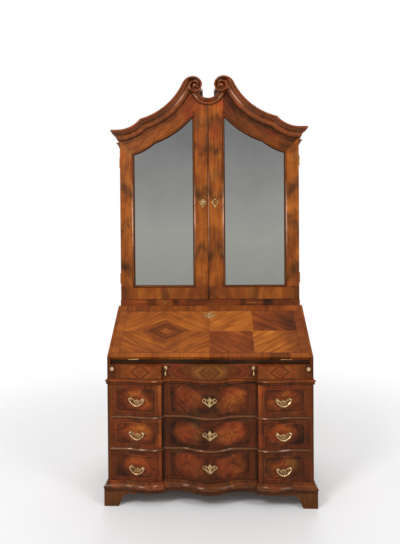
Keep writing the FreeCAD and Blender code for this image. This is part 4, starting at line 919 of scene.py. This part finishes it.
# The plinth's tone is set low as painted shade under the base moulding
dress(make_plain("walnut_plinth", UMBER, 0.20, "x", 10.0), "plinth_frame")
dress(make_plain("walnut_lopers", CHESTNUT, 0.30, "y", 12.0), "loper_left", "loper_right")
dress(make_knobbed("walnut_slides", 0.50, "y", 11.5, CABINET_FACE), "candle_slide_left", "candle_slide_right")
dress(make_knobbed("walnut_letters", 0.52, "x", 13.0, LETTER_FRONT), "letter_rack", "letter_drawer_left",
      "letter_drawer_right")
dress(make_pine("pine_backs", "z", 2.0, PINE, PLANK), "case_back", "cabinet_back")
dress(make_pine("stained_roof", "y", 3.0, STAINED_PINE), "cabinet_roof")
dress(make_pine("pine_boards", "x", 4.0, PINE), "cabinet_shelves", "frieze_box",
      *[drawer + "_box" for drawer in DRAWERS])
dress(make_pine("pine_guides", "y", 6.0, PINE), "loper_guides")

# Slightly rounded edges on all but the mirrors: how wide, and from what angle between two faces

EASE = 0.0007
BRASS_EASE = 0.00025
EASE_FROM = math.radians(32)
SHARP_FROM = math.radians(50)
WELD_REACH = 0.00001


def soften(name, width):
    """Join a CAD node's faces and round its edges a little, which leaves its own vertices as they are"""
    node = nodes[name]
    weld = node.modifiers.new("weld", "WELD")
    weld.merge_threshold = WELD_REACH
    bevel = node.modifiers.new("edges", "BEVEL")
    bevel.width = width
    bevel.segments = 2
    bevel.limit_method = "ANGLE"
    bevel.angle_limit = EASE_FROM
    bevel.harden_normals = False
    split = node.modifiers.new("sharp", "EDGE_SPLIT")
    split.split_angle = SHARP_FROM
    split.use_edge_sharp = False
    node.data.shade_smooth()
    smooth = node.modifiers.new("normals", "WEIGHTED_NORMAL")
    smooth.keep_sharp = True


for name in nodes:
    if "mirror" not in name:
        soften(name, BRASS_EASE if name in brass_names else EASE)

# Slotted screw heads on the hinge leaves, each of two half domes beside its slot

SCREW_RADIUS = 0.0024
SCREW_PITCH = 0.020
SCREW_STEPS = 10
SCREW_ROWS = ((1.0, 0.0), (0.86, 0.7), (0.55, 1.0))
SLOT_HALF = 0.00035
SLOT_TURN = 0.9
HEAD_RISE = 0.0003
DOOR_HEAD_RISE = 0.00007
LEAF_MIDDLE = 0.0135
DOOR_HINGE = (0.5325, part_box("door_right_frame")[1].y + 0.00015)
DOOR_HINGE_LEVELS = (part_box("door_right_frame")[0].z + 0.125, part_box("door_right_brasses")[1].z - 0.030)


def mesh_object(name, points, faces):
    """A new object in the scene with a mesh of its own"""
    mesh = bpy.data.meshes.new(name)
    mesh.from_pydata(points, [], faces)
    made = bpy.data.objects.new(name, mesh)
    bpy.context.scene.collection.objects.link(made)
    return made


def screw_heads(name, body, places, normal, height, turn):
    """Small screws at the given places, facing along normal with their slots turned each a little more"""
    points, faces = [], []
    up = Vector(normal).normalized()
    side = up.orthogonal().normalized()
    row = SCREW_STEPS + 1
    for count, place in enumerate(places):
        first = Matrix.Rotation(turn + count * SLOT_TURN, 3, up) @ side
        second = up.cross(first)
        for sign in (-1, 1):
            start = len(points)
            for share, level in SCREW_ROWS:
                centre = Vector(place) + up * (height * level)
                for step in range(row):
                    angle = math.pi * step / SCREW_STEPS
                    across = max(math.sin(angle) * SCREW_RADIUS * share, SLOT_HALF)
                    along = math.cos(angle) * SCREW_RADIUS * share
                    points.append(centre + first * along + second * (sign * across))
            for lower in range(start, start + 2 * row, row):
                upper = lower + row
                for step in range(SCREW_STEPS):
                    faces.append((lower + step, lower + step + 1, upper + step + 1, upper + step)[::sign])
                faces.append((lower, upper, upper + SCREW_STEPS, lower + SCREW_STEPS)[::sign])
            faces.append(tuple(range(start + 2 * row, start + 3 * row))[::sign])
            faces.append(tuple(range(start, start + row))[::-sign])
    made = mesh_object(name, points, faces)
    made.data.materials.append(brass)
    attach(made, body)


def spread(centre, along):
    """Three places in a row about a centre"""
    return [Vector(centre) + Vector(along) * share * SCREW_PITCH for share in (-1, 0, 1)]


slope = Vector((0, math.cos(FALL_TURN), math.sin(FALL_TURN)))
case_places, fall_places = [], []
for sign in (-1, 1):
    pivot = Vector((sign * FALL_HINGE[0], FALL_HINGE[1], FALL_HINGE[2]))
    case_places += spread(pivot + Vector((0, LEAF_MIDDLE, 0)), (1, 0, 0))
    fall_places += spread(pivot + slope * LEAF_MIDDLE, (1, 0, 0))
screw_heads("bed_hinge_screws", "carcase", case_places, (0, 0, 1), HEAD_RISE, 0.2)
screw_heads("fall_hinge_screws", "fall", fall_places, (0, slope.z, -slope.y), HEAD_RISE, 0.5)
for side, sign in (("left", -1), ("right", 1)):
    places = []
    for level in DOOR_HINGE_LEVELS:
        places += spread((sign * (DOOR_HINGE[0] - LEAF_MIDDLE), DOOR_HINGE[1], level), (0, 0, 1))
    screw_heads("door_hinge_screws_" + side, "door_" + side, places, (0, 1, 0), DOOR_HEAD_RISE, 0.4)

# Floor, light and camera

FLOOR_HALF = 6.0
FLOOR_FADE = (0.9, 3.2)
SKY_LIGHT = 0.65
CAMERA_PLACE = (0.032, -2.385, 1.252)
CAMERA_YAW = math.radians(2.09)
CAMERA_PITCH = math.radians(-0.66)
CAMERA_ROLL = math.radians(-0.42)
FOCAL_PIXELS = 406.3
PHOTO_HEIGHT = 544
SENSOR = 36.0

floor_corners = [(x * FLOOR_HALF, y * FLOOR_HALF, 0) for x, y in ((-1, -1), (1, -1), (1, 1), (-1, 1))]
floor = mesh_object("floor", floor_corners, [(0, 1, 2, 3)])
floor_material, floor_shader, floor_x, floor_y, _ = new_material("floor")
floor_shader.inputs["Base Color"].default_value = (0.80, 0.80, 0.80, 1.0)
floor_shader.inputs["Roughness"].default_value = 0.6
feed(floor_x.tree, sink(radius(floor_x, floor_y), *FLOOR_FADE), floor_shader.inputs["Alpha"])
floor.data.materials.append(floor_material)


def area_light(name, place, target, size, power):
    """A soft lamp aimed at a point"""
    lamp = bpy.data.lights.new(name, "AREA")
    lamp.shape = "RECTANGLE"
    lamp.size, lamp.size_y = size
    lamp.energy = power
    made = bpy.data.objects.new(name, lamp)
    bpy.context.scene.collection.objects.link(made)
    made.location = place
    made.rotation_euler = (Vector(target) - Vector(place)).to_track_quat("-Z", "Y").to_euler()


area_light("key", (-2.1, -2.9, 3.6), (0, 0, 1.1), (1.0, 1.0), 88)
area_light("fill", (2.7, -2.4, 3.5), (0, 0, 1.0), (1.2, 1.0), 48)
area_light("rim", (0.3, 2.8, 3.2), (0, 0, 1.2), (3.0, 2.0), 40)
area_light("overhead", (0, -1.5, 4.0), (0, 0, 2.1), (1.4, 0.3), 12)

# The sky looks plain white, in mirrors too, and lights the cabinet a little less
world = bpy.data.worlds.new("studio")
bpy.context.scene.world = world
world.use_nodes = True
sky = world.node_tree
background = sky.nodes["Background"]
rays = sky.nodes.new("ShaderNodeLightPath")
shown = most(*(Field(sky, rays.outputs[ray])
               for ray in ("Is Camera Ray", "Is Transmission Ray", "Is Glossy Ray")))
feed(sky, shown * (1 - SKY_LIGHT) + SKY_LIGHT, background.inputs["Strength"])
background.inputs["Color"].default_value = (1.0, 1.0, 1.0, 1.0)
bpy.context.scene.view_settings.view_transform = "Standard"

camera_data = bpy.data.cameras.new("camera")
camera_data.sensor_fit = "VERTICAL"
camera_data.sensor_height = SENSOR
camera_data.lens = FOCAL_PIXELS / PHOTO_HEIGHT * SENSOR
camera = bpy.data.objects.new("camera", camera_data)
bpy.context.scene.collection.objects.link(camera)
turn = (Matrix.Rotation(CAMERA_YAW, 4, "Z") @ Matrix.Rotation(math.pi / 2 + CAMERA_PITCH, 4, "X")
        @ Matrix.Rotation(CAMERA_ROLL, 4, "Z"))
camera.matrix_world = Matrix.Translation(CAMERA_PLACE) @ turn
bpy.context.scene.camera = camera
